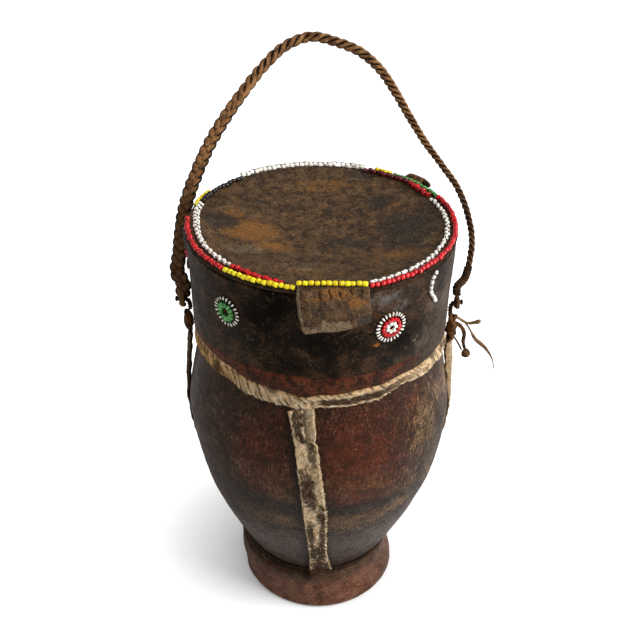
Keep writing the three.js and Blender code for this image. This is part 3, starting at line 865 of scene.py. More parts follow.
def vessel_values(azimuth, z):
    """The stored patches of the wood, one number from 0 to about 1 for each point and each patch. The band,
    the grey under it, which is partly a painted sheen, and the foot's darker places are bell curves over the
    height or the azimuth."""
    belt = bell((z - 113 - 3 * np.sin(np.radians(azimuth * 2))) / 6.5)
    low_grey_and_sheen = bell((z - 68) / 22) * (z > WAIST_HEIGHT)
    # The grey on the left side of the belly is a painted sheen, and the low grey is partly one.
    left = bell(from_azimuth(azimuth, -160) / 26) * bell((z - 130) / 45) * 0.62
    dark_side = 0.5 * bell(from_azimuth(azimuth, -170) / 26) + 0.6 * bell(from_azimuth(azimuth, -24) / 18)
    foot = z < FOOT_HEIGHT + 1
    return stored_patches(WOOD_PATCHES, azimuth, z) | {
        # The value beside the front strap is a painted shadow of the strap.
        "grime_and_painted_shade": 0.85 * painted_shadow_beside_strap(azimuth, z), "band": belt * 0.74,
        "grey": np.maximum(low_grey_and_sheen * 0.8, left), "foot": foot * 0.95,
        "foot_dark": foot * np.maximum(0.78 * ease((z - 18) / 8), dark_side),
        "bare": (z > CAP_BOTTOM + 1.2) * 0.62,
    }


def make_vessel():
    """The profile turned round the axis, with the carving on its outer side. Inside, the wood is bare."""
    profile = vessel_profile()
    azimuth, radius, z = around(VESSEL_COLUMNS)[None, :], profile[:, :1], profile[:, 1:]
    outer = (radius > vessel_radius(z) - VESSEL_WALL + 1.5) | (z < FLOOR_HEIGHT - 2)
    rings = polar(azimuth, radius + carving(azimuth, z) * outer * ease(radius / 30), z)
    azimuth, z, hollow = (np.broadcast_to(part, rings.shape[:2]) for part in (azimuth, z, ~outer))
    values = {}
    for name, numbers in vessel_values(azimuth, z).items():
        kept = np.where(hollow, 0.9 if name == "bare" else 0, numbers)
        values[name] = np.append(kept.ravel(), [kept[0, 0], kept[-1, 0]])
    piece("vessel", "root", ["wooden_vessel"], [wood], capped(rings), values)


make_vessel()

# %% [markdown]
# ## The cap's leather
#
# The cap is rawhide that was sewn wet over a form, dried hard, and blackened by hands and smoke. It is
# brown-black with a dull sheen, thin pale scratches, and a stripe of red ochre along its lower edge. Left of
# and below the front tab the black is partly a painted shadow of the tab. The top is browner, with rusty and
# bluish blotches. Across the dish the bluish patches at the right are partly painted shade, and the rusty one
# at the left is partly painted light.

# %% Cap wall leather
CAP_BLACK = colour(10, 7, 5)
CAP_BROWN = colour(56, 38, 25)
CAP_WARM = colour(92, 62, 37)
CAP_RUBBED = colour(118, 100, 82)
CAP_SHEEN = colour(108, 105, 102)
CAP_OCHRE = colour(92, 38, 22)
CAP_OCHRE_DARK = colour(40, 19, 13)
CAP_SCRATCH = colour(138, 114, 84)
CAP_ORANGE = colour(146, 84, 38)


def cap_wall_material():
    look = Look("cap_leather", 0.45)
    broken = (look.noise(4, 7, 0.78) - 0.5) * 1.8
    # The stored black value is dark leather, and left of and below the front tab it is a painted shadow of
    # the tab.
    darkness = look.value("black") * 0.15
    shade = look.mix((look.noise(9, 8, 0.75) - darkness).step(0.42, 0.58), CAP_BLACK, CAP_BROWN)
    specks = look.group(SPECKS, Size=1.1)
    scratches = look.group(SCRATCHES, Size=3.4, Width=0.012, Cover=0.46)["Mask"]
    ochre = look.mix(look.noise(6, 7, 0.75).step(0.44, 0.58), CAP_OCHRE_DARK, CAP_OCHRE)
    where = (look.noise(12, 6, 0.75) - darkness).step(0.36, 0.6)
    flecks = look.noise(0.8, 3, 0.8).step(0.57, 0.66)
    layers = [
        (CAP_WARM, (look.noise(5, 7, 0.75) - darkness).step(0.52, 0.64) * 0.7),
        (CAP_RUBBED, (look.value("rubbed") + broken).step(0.35, 0.8) * 0.75),
        (CAP_SHEEN, (look.value("sheen") + broken).step(0.35, 0.9) * 0.75),
        (ochre, (look.value("stripe") + broken * 0.4).step(0.4, 0.6)),
        (CAP_ORANGE, (look.value("orange") + broken * 0.5).step(0.45, 0.6)),
        (CAP_WARM, specks["Pale"] * where * 0.75), (CAP_SCRATCH, flecks * where * 0.6),
        (CAP_BLACK, specks["Dark"] * 0.5), (CAP_SCRATCH, scratches * (look.noise(9, 3) * 0.42)),
    ]
    shade = shade.painted(layers)
    look.put(look.shader["Specular IOR Level"], MATT - look.value("black") * 0.1)
    relief = look.group(GRAIN, Size=1.0)["Height"] - scratches * 0.6
    return look.dress(shade, look.noise(8, 4) * 0.26 + 0.32, relief, 0.25)


cap_leather = cap_wall_material()

# %% Top leather
TOP_BROWN = colour(106, 80, 55)
TOP_DARK = colour(44, 34, 27)
TOP_RUST = colour(148, 98, 46)
TOP_BLUE = colour(40, 38, 37)
TOP_PALE = colour(158, 138, 110)


def top_material():
    look = Look("top_leather", 0.5)
    broken = (look.noise(5, 8, 0.78) - 0.5) * 1.7
    pale = (look.value("pale") + broken).step(0.35, 0.9)
    specks = look.group(SPECKS, Size=1.3)
    scratches = look.group(SCRATCHES, Size=5.0, Width=0.014, Cover=0.46)["Mask"]
    grain = look.group(GRAIN, Size=1.1)
    shade = look.mix(look.noise(6, 8, 0.8).step(0.41, 0.59), TOP_DARK, TOP_BROWN)
    layers = [
        (TOP_RUST, look.noise(9, 7, 0.8).step(0.54, 0.68) * 0.5),
        (TOP_RUST, look.noise(2.2, 5, 0.8).step(0.55, 0.68) * 0.35),
        # The stored rust and blue patches are partly painted light and shade across the dish.
        (TOP_RUST, (look.value("rust") + broken).step(0.3, 0.75) * 0.85),
        (TOP_BLUE, (look.value("blue") + broken).step(0.3, 0.65) * 0.85),
        (TOP_PALE, specks["Pale"] * (pale * 0.6 + 0.2)), (TOP_PALE, pale * 0.42),
        (TOP_DARK, specks["Dark"] * 0.5), (TOP_PALE, scratches * 0.25),
        (TOP_DARK, grain["Crease"] * 0.35), (CAP_BLACK, look.value("edge")),
    ]
    shade = shade.painted(layers)
    return look.dress(shade, look.noise(8, 4) * 0.3 + 0.42, grain["Height"], 0.3)


top_leather = top_material()

# %% [markdown]
# ## The cap wall
#
# The wall is a closed sleeve, so its profile is a loop: up the outside, over the top, down the inside and
# round the lower edge. The lower edge dips where the front strap pulls it down, and it flares just enough
# to clear the shoulder there. The whole cap also tips back a little.

# %% How the harness hangs and the cap tips
HARNESS_LEVEL = [
    (-180, 2.6), (-152, 4.4), (-135, 3), (-120, -0.6), (-108, -1.6), (-97, -4), (-88, -2), (-68, -0.6),
    (-50, 0.9), (-30, 0.6), (-10, -0.8), (10, -0.5), (60, 0.4), (90, -0.6), (120, 0.6), (150, 1), (180, 2.6),
]
RIM_TIP = 1.2


def harness_level(azimuth):
    """How far above its even height the ring strap and the cap's lower edge lie."""
    return round_table(azimuth, HARNESS_LEVEL) + 0.25 * round_ripples(azimuth, 0.0, 22, 21)


def rim_tip(azimuth, radius):
    """The cap's rim is a little higher at the back than in front."""
    return RIM_TIP * np.sin(np.radians(azimuth)) * radius / TOP_RADIUS


def cap_radius(z):
    share = (np.asarray(z, float) - CAP_BOTTOM) / (WALL_TOP - CAP_BOTTOM)
    return between(CAP_OUTER_BOTTOM, CAP_OUTER_TOP, share)


def cap_skin(azimuth, z):
    """The wall's outer radius with its dents: slow ones, and small ones where the hide dried unevenly."""
    dents = 0.28 * round_ripples(azimuth, z, 45, 31) + 0.1 * round_ripples(azimuth, z, 13, 32)
    return cap_radius(z) + (dents + 0.04 * round_ripples(azimuth, z, 4, 33))


print("rim height at the back:", round(CAP_TOP + RIM_TIP, 1))

# %% Cap wall piece
WALL_PATCHES = {
    "rubbed": [
        (-42, 216, 10, 12, 0.5), (-38, 240, 7, 16, 0.5), (-26, 232, 8, 18, 0.55), (-117, 228, 9, 8, 0.4),
        (-125, 222, 10, 7, 0.35), (-55, 209, 12, 5, 0.4), (-66, 232, 6, 6, 0.4), (60, 230, 14, 16, 0.5),
        (130, 225, 14, 14, 0.45), (-12, 225, 8, 20, 0.45),
    ],
    "sheen": [
        (-64, 252, 8, 6, 0.75), (-57, 246, 6, 6, 0.6), (-44, 218, 8, 8, 0.4), (-146, 236, 10, 18, 0.3),
    ],
    "orange": [(-67, 224.4, 2.2, 1.8, 0.7)],
    # The first three black patches, left of and below the front tab, are a painted shadow of the tab; the
    # others are dark leather.
    "black": [
        (-108, 250, 9, 16, 1.0), (-114, 238, 11, 20, 0.9), (-88, 228, 20, 10, 0.8), (-52, 224, 10, 12, 0.9),
        (-100, 215, 22, 8, 0.7), (-30, 250, 6, 12, 0.6), (-150, 240, 16, 24, 0.35),
    ],
}
STRIPE_TOP = 206.5
STRIPE_END = -44
WALL_COLUMNS = 360
SHOULDER_GAP, SHOULDER_OUTER = 0.35, 3.1  # how far the wall's two sides stay off the vessel at least


def make_cap_wall():
    """Rings up the outside, over the top and down the inside. Each lies at a share of the way from the wavy
    lower edge to the top, and tips with the cap."""
    azimuth = around(WALL_COLUMNS)[None, :]
    rise = np.concatenate([spread(0.012, 0.9, 96), spread(0.91, 0.985, 10)])[:, None]
    low = CAP_BOTTOM + harness_level(azimuth)
    tip = rim_tip(azimuth, TOP_RADIUS)
    z = between(low, WALL_TOP, rise)
    groove = 0.35 * bell((z - STRIPE_TOP) / 0.7) * ease(-from_azimuth(azimuth, STRIPE_END) / 4)
    outer = np.maximum(cap_skin(azimuth, z) - groove, vessel_skin(azimuth, z) + SHOULDER_OUTER)
    inner = np.maximum(CAP_INNER + 0.05, vessel_skin(azimuth, low) + SHOULDER_GAP)
    outside = polar(azimuth, outer, z + tip * rise)
    inset, level = np.array([[0.5, 1.4], [0.995, 1.0]])[:, :, None]
    top = polar(azimuth, outer[-1] - inset, between(low, WALL_TOP, level) + tip)
    share = np.concatenate([spread(1, 0.1, 12), [0.05, 0.012]])[:, None]
    inner_radius = between(CAP_INNER, inner, np.clip((0.12 - share) / 0.12, 0, 1))
    inside = polar(azimuth, inner_radius, between(low, WALL_TOP, share) + tip * share)
    lower_edge = [polar(azimuth, (inner + outer[0]) / 2 + step, low)[:1] for step in (-0.9, 0.9)]
    rings = np.concatenate([outside, top, inside, *lower_edge])
    z = rings[..., 2]
    outer_face = np.hypot(rings[..., 0], rings[..., 1]) > CAP_INNER + 1.4
    stripe = ease((STRIPE_TOP - z) / 1.6 + 0.5) * ease(-from_azimuth(azimuth, STRIPE_END) / 12 + 0.5)
    stripe = np.where(np.abs(from_azimuth(azimuth, -110)) < 120, stripe, stripe * 0.6)
    values = stored_patches(WALL_PATCHES, azimuth, z) | {"stripe": stripe}
    values = {name: numbers * outer_face for name, numbers in values.items()}
    values["rubbed"] = values["rubbed"] + 0.5 * ~outer_face
    piece("cap_wall_leather", "cap", ["cap_wall"], [cap_leather], looped(rings), values)


make_cap_wall()

# %% [markdown]
# ## The cap's top
#
# The top is one disc of hide that dried into a shallow dish. Its rim is nearly flat, and carries the
# beads. Round the rim the hide is puckered by the stitches, and the puckers fade out inwards.

# %% Cap top piece
TOP_COLUMNS = 330
# The big blue patches at x 48 and 62 are painted shade on the dish's right slope, and the big rust patch at x
# -40 is partly painted light on its left slope; the other patches are stains.
TOP_SPOTS = {
    "rust": [
        (-40, -4, 17, 13, 0.95), (-50, 14, 10, 9, 0.6), (43, -31, 14, 9, 0.6), (0, 52, 26, 9, 0.55),
        (-26, -20, 13, 8, 0.7), (-62, 42, 8, 8, 0.5), (42, 29, 6, 5, 0.7), (-10, -52, 30, 7, 0.5),
        (10, 25, 20, 10, 0.35),
    ],
    "blue": [
        (-56, 3, 10, 8, 0.95), (-45, 60, 11, 5, 0.6), (35, 33, 9, 7, 1.0), (24, 63, 9, 6, 0.75),
        (-28, 66, 8, 4, 0.55), (-36, 31, 7, 4, 0.6), (62, 18, 10, 22, 0.6), (5, 24, 6, 4, 0.5),
        (18, -12, 22, 9, 0.6), (48, -2, 18, 28, 0.75),
    ],
    "pale": [
        (-42, -26, 16, 9, 0.7), (22, -2, 12, 8, 0.4), (4, -26, 24, 8, 0.45), (-62, -4, 6, 10, 0.5),
        (-12, -46, 34, 8, 0.55), (14, 50, 9, 9, 0.2),
    ],
}


def top_height(radius):
    """The even height of the top: a dish that deepens with the square of the way in, and a flatter rim."""
    band = TOP_RADIUS - RIM_BAND
    across = np.clip((radius - band) / (RIM_BAND - 3), 0, 1)
    dish = CAP_TOP - RIM_SLOPE - DISH_DEPTH * (1 - (radius / band) ** 2)
    return np.where(radius >= band, CAP_TOP - RIM_SLOPE * (1 - across), dish)


def top_skin(azimuth, radius):
    """Height with the tip, the unevenness of the dried hide, and puckers at the stitches."""
    place = polar(azimuth, radius, 0.0)
    dents = 0.55 * ripples(place, 50, 41) * ease((70 - radius) / 20) + 0.12 * ripples(place, 12, 42)
    dents = dents + 0.05 * ripples(place, 4, 43)
    pucker = 0.16 * np.sin(np.radians(azimuth) * 78 + ripples(place, 30, 44)) * ease((radius - 56) / 14)
    return top_height(radius) + rim_tip(azimuth, radius) + dents + pucker * ease((TOP_RADIUS - radius) / 3)


def make_cap_top():
    """Rings from the middle out over the top, round the edge in an arc, and back underneath."""
    azimuth = around(TOP_COLUMNS)[None, :]
    radii = np.concatenate([spread(0.8, 62, 62), spread(62.8, TOP_RADIUS - 1.2, 22)])[:, None]
    under_radii = np.concatenate([spread(TOP_RADIUS - 1.4, 66, 6), spread(60, 0.8, 9)])[:, None]
    over = polar(azimuth, radii, top_skin(azimuth, radii))
    under_z = np.minimum(top_height(under_radii), CAP_TOP - 0.25) - TOP_THICKNESS + 0.15
    under = polar(azimuth, under_radii, under_z + rim_tip(azimuth, under_radii))
    turn = np.radians(spread(75, -75, 6))[:, None]
    rough = 0.3 * ripples(polar(azimuth, 76.0, 0.0), 9, 45)
    edge_z = CAP_TOP - TOP_THICKNESS / 2 + 0.95 * np.sin(turn) + rim_tip(azimuth, TOP_RADIUS)
    edge = polar(azimuth, TOP_RADIUS - 0.9 + (0.9 + rough) * np.cos(turn), edge_z)
    body = capped(np.concatenate([over, edge, under])[::-1])
    x, y, _ = body[0].T
    values = stored_patches(TOP_SPOTS, x, y, np.subtract)
    values["edge"] = 0.55 * ease((np.hypot(x, y) - TOP_RADIUS + 1.6) / 1.2)
    piece("cap_top_hide", "cap", ["cap_top"], [top_leather], body, values)


make_cap_top()

# %% [markdown]
# ## Beads
#
# There are more than three hundred beads, so one bead is made once, as a ring with an outline of eight
# points, and copied by numpy. Each copy gets its own place, tilt, size and shade, because glass beads of
# this kind are cut by hand. A dark sinew runs through each row. A second one is whipped over the edge of the
# leather and shows as small slanting stitches at the outer side of the beads.

# %% One bead and many copies
BEAD_RADIUS = 1.4
BEAD_PITCH = 3.0
SMALL_BEAD_RADIUS = 1.08
SMALL_BEAD_PITCH = 2.6
BEAD_SHARE = 0.93  # of its pitch that a bead fills, the rest is the gap
THREAD_SIDES = 5
BEAD_OUTLINE = np.array([
    (-0.4, 0.36), (-0.5, 0.66), (-0.34, 0.93), (0, 1), (0.34, 0.93), (0.5, 0.66), (0.4, 0.36), (0, 0.33),
])


def bead_body():
    """A bead of length 1 along x and radius 1: its outline of (place, radius) turned round x in 8 steps."""
    turn = whole_turn(8)
    x, radius = np.broadcast_arrays(BEAD_OUTLINE[:, :1], turn)[0], BEAD_OUTLINE[:, 1:]
    return looped(np.stack([x, radius * np.cos(turn), radius * np.sin(turn)], -1))


def copies(body, centres, frames, scales):
    """A body again at each centre. frames holds the directions of its three axes, and scales its sizes along
    them. The points are the scaled body times the axes plus the centre, for all copies at once."""
    points, quads, triangles = body
    placed = np.einsum("nvk,nkj->nvj", points[None] * scales[:, None], frames) + centres[:, None]
    starts = (np.arange(len(centres)) * len(points))[:, None, None]
    return placed.reshape(-1, 3), (quads + starts).reshape(-1, 4), (triangles + starts).reshape(-1, 3)


def frames_from(along, up):
    """Three square axes for each copy: along, then up crossed with it, then the rest of up."""
    first = unit(along)
    second = unit(np.cross(up, first))
    return np.stack([first, second, np.cross(first, second)], 1)


def join_marked(first, second):
    """Two bodies as one, and a 1 for each face that comes from the second."""
    counts = [len(body[kind]) for kind in (1, 2) for body in (first, second)]
    return join([first, second]), np.repeat([0, 1, 0, 1], counts)


BEAD = bead_body()
print("faces of one bead:", len(BEAD[1]))

# %% [markdown]
# Opaque glass is a plain glossy surface whose shade differs a little from bead to bead. The shade is stored
# on the mesh, one number a bead, and only tints the colour.

# %% Glass and sinew


def glass_material(name, light, dark, roughness=0.2):
    look = Look(name, roughness, 0.42, (1, 1, 1, 1))
    grime_and_painted_shade = look.noise(2.2, 3).step(0.56, 0.72)
    shade = look.mix(look.value("shade"), dark, light).paint(GRIME, grime_and_painted_shade * 0.3)
    return look.dress(shade, grime_and_painted_shade * 0.3 + roughness)


GRIME = colour(70, 50, 34)
glass = {
    "red": glass_material("glass_red", colour(212, 16, 26), colour(160, 10, 20)),
    "dark_red": glass_material("glass_dark_red", colour(112, 18, 28), colour(74, 12, 20)),
    "yellow": glass_material("glass_yellow", colour(250, 230, 30), colour(226, 194, 16)),
    "white": glass_material("glass_white", colour(250, 248, 240), colour(224, 216, 202)),
    "green": glass_material("glass_green", colour(96, 170, 92), colour(54, 122, 58)),
    "black": glass_material("glass_black", colour(40, 34, 30), colour(16, 14, 13), 0.3),
}


def sinew_material(name, dark, light):
    look = Look(name, 0.7)
    strands = look.noise(0.5, 3)
    return look.dress(look.mix(strands, dark, light), None, strands, 0.1)


sinew = sinew_material("sinew", colour(16, 12, 10), colour(58, 44, 32))
pale_sinew = sinew_material("pale_sinew", colour(70, 60, 50), colour(150, 136, 112))

# %% Bead rows


def whip_stitches(centres, up, size, pitch):
    """A thread that crosses the row once a bead: from under the beads out over the leather's edge."""
    out = outward(centres)
    step = np.gradient(centres, axis=0) * 0.25
    over = centres + out * size * 1.02 - up * size * 0.35 - step
    down = centres + out * size * 0.85 - up * size * 1.5 + step
    path = np.stack([over, down], 1).reshape(-1, 3)
    return thong(curve(path, 6 * len(centres)), out[0] + [0.01, 0.02, 0.03], pitch * 0.1, THREAD_SIDES)


def string_piece(name, body, node, tint, beads, threads, thread_look, rng):
    """Beads and their threads as one piece. Each bead takes its own shade."""
    threads = join(threads)
    shape, second = join_marked(beads, threads)
    each = len(BEAD[0])
    shades = np.repeat(rng.uniform(0, 1, len(beads[0]) // each), each)
    values = {"shade": np.concatenate([shades, np.zeros(len(threads[0]))])}
    piece(name, body, [node], [glass[tint], thread_look], shape, values, second)


def bead_piece(name, body, node, tint, centres, along, up, size, length, seed, whip=None, cord=False):
    """A row of beads on a sinew. along and up are directions at each bead, size its radius and length its
    length. whip is the look of the thread over the edge, if the row has one, and cord adds a dark thread
    beside it."""
    rng = np.random.default_rng(seed)
    count = len(centres)
    frames = frames_from(unit(along) + rng.normal(0, 0.09, (count, 3)), up)
    moved = centres + rng.normal(0, 0.1 * size, (count, 3)) * [1, 1, 0.6]
    scales = np.array([length, size, size]) * rng.uniform(0.92, 1.08, (count, 1))
    beads = copies(BEAD, moved, frames, scales)
    ends = [centres[0] - unit(along[0]) * length * 0.8, centres[-1] + unit(along[-1]) * length * 0.8]
    line = curve(np.concatenate([ends[:1], centres, ends[1:]]), 3 * count)
    threads = [thong(line, up[0] + [0.01, 0.02, 0], 0.36, THREAD_SIDES)]
    if whip:
        threads.append(whip_stitches(centres, up, size, length))
    if cord:
        beside = line + outward(line) * size * 0.6 + [0, 0, size * 0.5]
        threads.append(thong(beside, up[0] + [0.01, 0.02, 0], 0.45, 6, 1.0, 0.3, seed))
    string_piece(name, body, node, tint, beads, threads, whip or sinew, rng)


def rim_row(node, tint, ends, insets, pitch=BEAD_PITCH, size=BEAD_RADIUS, zigzag=0.0, whip=None, cord=False):
    """A row on the rim between two azimuths, and between two distances inside the edge. With cord, a dark
    thread lies along the row on its outer side."""
    near, far = TOP_RADIUS - np.array(insets)
    count = round(math.radians(ends[1] - ends[0]) * (near + far) / 2 / pitch)
    share = (np.arange(count) + 0.5) / count
    azimuth, radius = between(*ends, share), between(near, far, share)
    radius = radius + zigzag * (-1.0) ** np.arange(count) + 0.25 * ripples(polar(azimuth, 70, 0), 14, 51)
    radius = np.minimum(radius, TOP_RADIUS - 0.9)
    centres = polar(azimuth, radius, top_skin(azimuth, radius) + size * 0.97)
    along = polar(azimuth + 90, 1.0, 0)
    up = np.broadcast_to([0, 0, 1.0], centres.shape)
    seed = 100 + sum(map(ord, node))
    whip = whip or (sinew if insets[0] == OUTER else None)
    length = pitch * BEAD_SHARE
    bead_piece(node + "_string", "cap", node, tint, centres, along, up, size, length, seed, whip, cord)


OUTER, INNER, REAR = 1.1, 6.6, 4.2
CORDED = OUTER + 0.6
rim_row("outer_beads_red_left", "red", (-180, -132), (OUTER, OUTER), zigzag=0.2)
rim_row("outer_beads_yellow_front", "yellow", (-131.5, -99.6), (OUTER, OUTER), zigzag=0.2)
rim_row("outer_beads_red_right", "red", (-71, 24), (OUTER, OUTER), zigzag=0.12)
rim_row("outer_beads_green", "green", (25, 54), (1.2, 1.3), size=1.3, zigzag=0.15)
rim_row("outer_beads_yellow_rear_right", "yellow", (55, 64), (OUTER, OUTER))
rim_row("outer_beads_white_rear_right", "white", (69.5, 81), (CORDED, CORDED), zigzag=0.3, cord=True)
rim_row("outer_beads_white_rear", "white", (83, 131), (CORDED, CORDED), zigzag=0.3, cord=True)
rim_row("outer_beads_yellow_rear_left", "yellow", (152, 167), (OUTER, OUTER), SMALL_BEAD_PITCH, 1.0)
rim_row("inner_beads_black", "black", (132, 163), (REAR, REAR), whip=pale_sinew)
rim_row("inner_beads_white_left", "white", (164.5, 190), (REAR, INNER), 2.0, 1.15, 0.95)
rim_row("inner_beads_white_front_left", "white", (190.6, 227.5), (INNER, INNER), 2.3, 1.15, 0.45)
rim_row("inner_beads_red_front", "red", (-131.5, -105), (INNER, REAR), zigzag=0.25)
rim_row("inner_beads_white_right", "white", (-69.5, 24), (5.2, 5.6), 2.3, 1.0, 0.4)
rim_row("inner_beads_bright_red", "red", (26, 43), (INNER - 0.8, REAR), size=1.55, zigzag=0.5)
rim_row("inner_beads_dark_red", "dark_red", (44, 69), (REAR, REAR), size=1.5, zigzag=0.35)

# %% [markdown]
# ## Beads on the wall
#
# A short arc of white beads and a string at the left side hang on the wall, and two rosettes are sewn in
# rings. In a rosette the beads point at its middle, and in its fringe thin white beads alternate with dark
# stitches. Places on the wall are an azimuth and a height, so the beads follow the wall's dents.

# %% Strings on the wall


def wall_point(azimuth, z, stand):
    """Points that stand off the wall's dented skin."""
    return polar(azimuth, cap_skin(azimuth, z) + stand, z + rim_tip(azimuth, TOP_RADIUS))


def wall_row(node, tint, points, count):
    """Beads along a smooth line of (azimuth, drop below the top) points on the wall."""
    azimuth, drop = np.array(points, float).T
    line = curve(wall_point(azimuth, CAP_TOP - drop, SMALL_BEAD_RADIUS + 0.15), 2 * count + 1)
    seed = 200 + sum(map(ord, node))
    centres = line[1::2]
    bead_piece(node + "_string", "cap", node, tint, centres, np.gradient(line, axis=0)[1::2],
               outward(centres), SMALL_BEAD_RADIUS, SMALL_BEAD_PITCH * 0.92, seed)


wall_row("wall_arc_white", "white", [(-37.5, 3.4), (-40.7, 7.6), (-40.9, 13), (-36.6, 22.8)], 8)
wall_row("side_string_black", "black", [(181, 3.8), (181.4, 10), (181, 18)], 6)
wall_row("side_string_red", "red", [(181, 18.6), (180.8, 24)], 2)

# %% Rosettes
GREEN_CENTRE = (-130.5, CAP_TOP - 23.6)
RED_CENTRE = (-60.8, CAP_TOP - 26.4)


def rosette_place(centre, radius, turn, stand):
    """Points of a circle that is laid on the wall: a sideways distance becomes an azimuth."""
    z = centre[1] + radius * np.sin(turn)
    azimuth = centre[0] + np.degrees(radius * np.cos(turn) / cap_radius(centre[1]))
    return wall_point(azimuth, z, stand)


def rosette_ring(node, tint, centre, radius, count, length, size, seed, spokes=False):
    """A ring of beads that point at the middle. spokes adds a dark stitch between each pair."""
    rng = np.random.default_rng(seed)
    turn = whole_turn(count) + rng.normal(0, 0.2 / count, count)
    inner, centres, outer = (rosette_place(centre, radius + step, turn, size * 0.85) for step in (-1, 0, 1))
    frames = frames_from(outer - inner + rng.normal(0, 0.12, (count, 3)), outward(centres))
    scales = np.array([length, size, size]) * rng.uniform(0.92, 1.08, (count, 1))
    beads = copies(BEAD, centres, frames, scales)
    ring = rosette_place(centre, radius, spread(0, 2 * np.pi, 49), 0.25)
    threads = [thong(ring, outward(ring), 0.34, THREAD_SIDES)]
    if spokes:
        steps = (-length * 0.75, length * 0.62)
        stitches = [rosette_place(centre, radius + step, turn + np.pi / count, 0.3) for step in steps]
        for start, end in zip(*stitches):
            out = outward(start)
            path = curve([start, (start + end) / 2 + out * 0.35, end], 6)
            threads.append(thong(path, out, 0.42, THREAD_SIDES))
    string_piece(node + "_beads", "cap", node, tint, beads, threads, sinew, rng)


rosette_ring("green_rosette_ring", "green", GREEN_CENTRE, 4.1, 12, 3.2, 1.0, 301)
rosette_ring("green_rosette_fringe", "white", GREEN_CENTRE, 7.7, 22, 2.0, 0.5, 302, spokes=True)
rosette_ring("red_rosette_centre_ring", "white", RED_CENTRE, 2.5, 7, 1.9, 1.0, 303)
rosette_ring("red_rosette_ring", "red", RED_CENTRE, 4.9, 16, 2.1, 0.98, 304)
rosette_ring("red_rosette_fringe", "white", RED_CENTRE, 7.9, 25, 2.2, 0.55, 305, spokes=True)

# %% [markdown]
# ## Straps and tabs
#
# A strap is a strip of hide with a rounded edge, carried along a path. Its section is a flat loop with many
# points across, so that the face can be raised or curled by a function of the way along and the way across.
# The two tabs and the straps down the belly come from this one function.

# %% A strip of hide


STRIP_COLUMNS = 24


def strip(path, facing, left, right, thickness, columns=STRIP_COLUMNS, lift=None, relief=None):
    """A strap along a path. left and right are the sideways places of its edges. lift(along, across) moves
    the whole thickness out, and relief(along, across) only the outer face. Returns the body, the grid of
    the outer face, and how far along and across each point of the body lies."""
    reach = length_along(path)[:, None]
    sizes = (left, right, thickness)
    left, right, thickness = (np.broadcast_to(size, (len(path),)).astype(float)[:, None] for size in sizes)
    share = spread(0, 1, columns)[None, :]
    across = between(left, right, share)
    raised = lift(reach, across) if lift else 0 * across
    face = relief(reach, across) if relief else 0 * across
    corner = np.minimum(np.minimum(share, 1 - share) * (right - left) / (thickness * 0.6), 1)
    half = thickness / 2 * (0.45 + 0.55 * rounded(corner))
    outer = np.stack([across, raised + half + face * corner], -1)[:, ::-1]
    inner = np.stack([across, raised - half], -1)
    right_edge = np.stack([across[:, -1] + 0.2 * thickness[:, 0], raised[:, -1]], -1)[:, None]
    left_edge = np.stack([across[:, 0] - 0.2 * thickness[:, 0], raised[:, 0]], -1)[:, None]
    sections = np.concatenate([right_edge, outer, left_edge, inner], 1)
    rings = sweep(path, facing, sections)
    body = capped(rings)
    along_all = np.append(np.broadcast_to(reach, sections.shape[:2]).ravel(), [0, reach[-1, 0]])
    across_all = np.append(sections[..., 0].ravel(), [0, 0])
    return body, rings[:, 1:columns + 1], along_all, across_all


print("points in a strip's section:", 2 * STRIP_COLUMNS + 2)

# %% Front tab
TAB_THICKNESS = 2.0
TAB_LIFT = SEAT + TAB_THICKNESS / 2
TAB_OFFSET = 5.9
TAB_HALF = 18.0
TAB_DROP = 21.2
TAB_SKEW = 3.0
TAB_BEND = 1.2
TAB_ROOT = 5.5
TAB_SLITS = [(-6.4, 5.4), (-1.4, 5.2), (3.6, 5), (9.2, 4.2), (14.6, 3.9)]
SLIT_LENGTH = 5.2
SLIT_SLANT = 0.3


def front_tab_path():
    """The tab's middle line: over the rim and down the wall, and a little to the right as it hangs."""
    rim = TOP_RADIUS + TAB_LIFT
    end = CAP_TOP - TAB_DROP
    places = np.array([
        (rim - TAB_BEND - TAB_ROOT, CAP_TOP + TAB_LIFT), (rim - 2.8 * TAB_BEND, CAP_TOP + TAB_LIFT),
        (rim - TAB_BEND / 3, CAP_TOP + TAB_LIFT - TAB_BEND / 3), (rim + TAB_BEND, CAP_TOP - 1.3 * TAB_BEND),
        (rim + 0.7 * TAB_BEND, (CAP_TOP + end) / 2), (cap_radius(end) + TAB_LIFT, end)])
    hang = np.clip((CAP_TOP - places[:, 1]) / TAB_DROP, 0, 1)
    z = places[:, 1] - RIM_TIP
    return curve(np.stack([TAB_OFFSET + TAB_SKEW * hang, -places[:, 0], z], 1), 76)


def tab_lift(along, across):
    """The tab follows the round wall at its sides, and its left edge and lower end stand off it."""
    wall = (across + TAB_OFFSET) ** 2 / (2 * TOP_RADIUS) - 0.25
    hang = ease((along - 6) / 10)
    left = 1.7 * ease((-across - 7) / 11) * hang
    end = 0.8 * ease((along - 22) / 8) * np.cos(across / 7)
    return -wall * hang + left + end + 0.18 * strip_ripples(across, along, 14, 61)


def slit_depth(along, across):
    """0 to 1: the depth of the slits. Each has its place across the tab and the place where it starts."""
    total = 0 * (along + across)
    for place, start in TAB_SLITS:
        distance = across - place - SLIT_SLANT * (along - start - SLIT_LENGTH / 2)
        length = ease((along - start) / 1.4) * ease((start + SLIT_LENGTH - along) / 1.4)
        total = np.maximum(total, length * bell(distance / 0.55))
    return total


def tab_relief(along, across):
    """Slanting slits near the bend, each a narrow groove, and unevenness."""
    return 0.06 * strip_ripples(across, along, 3, 62) - 0.75 * slit_depth(along, across)


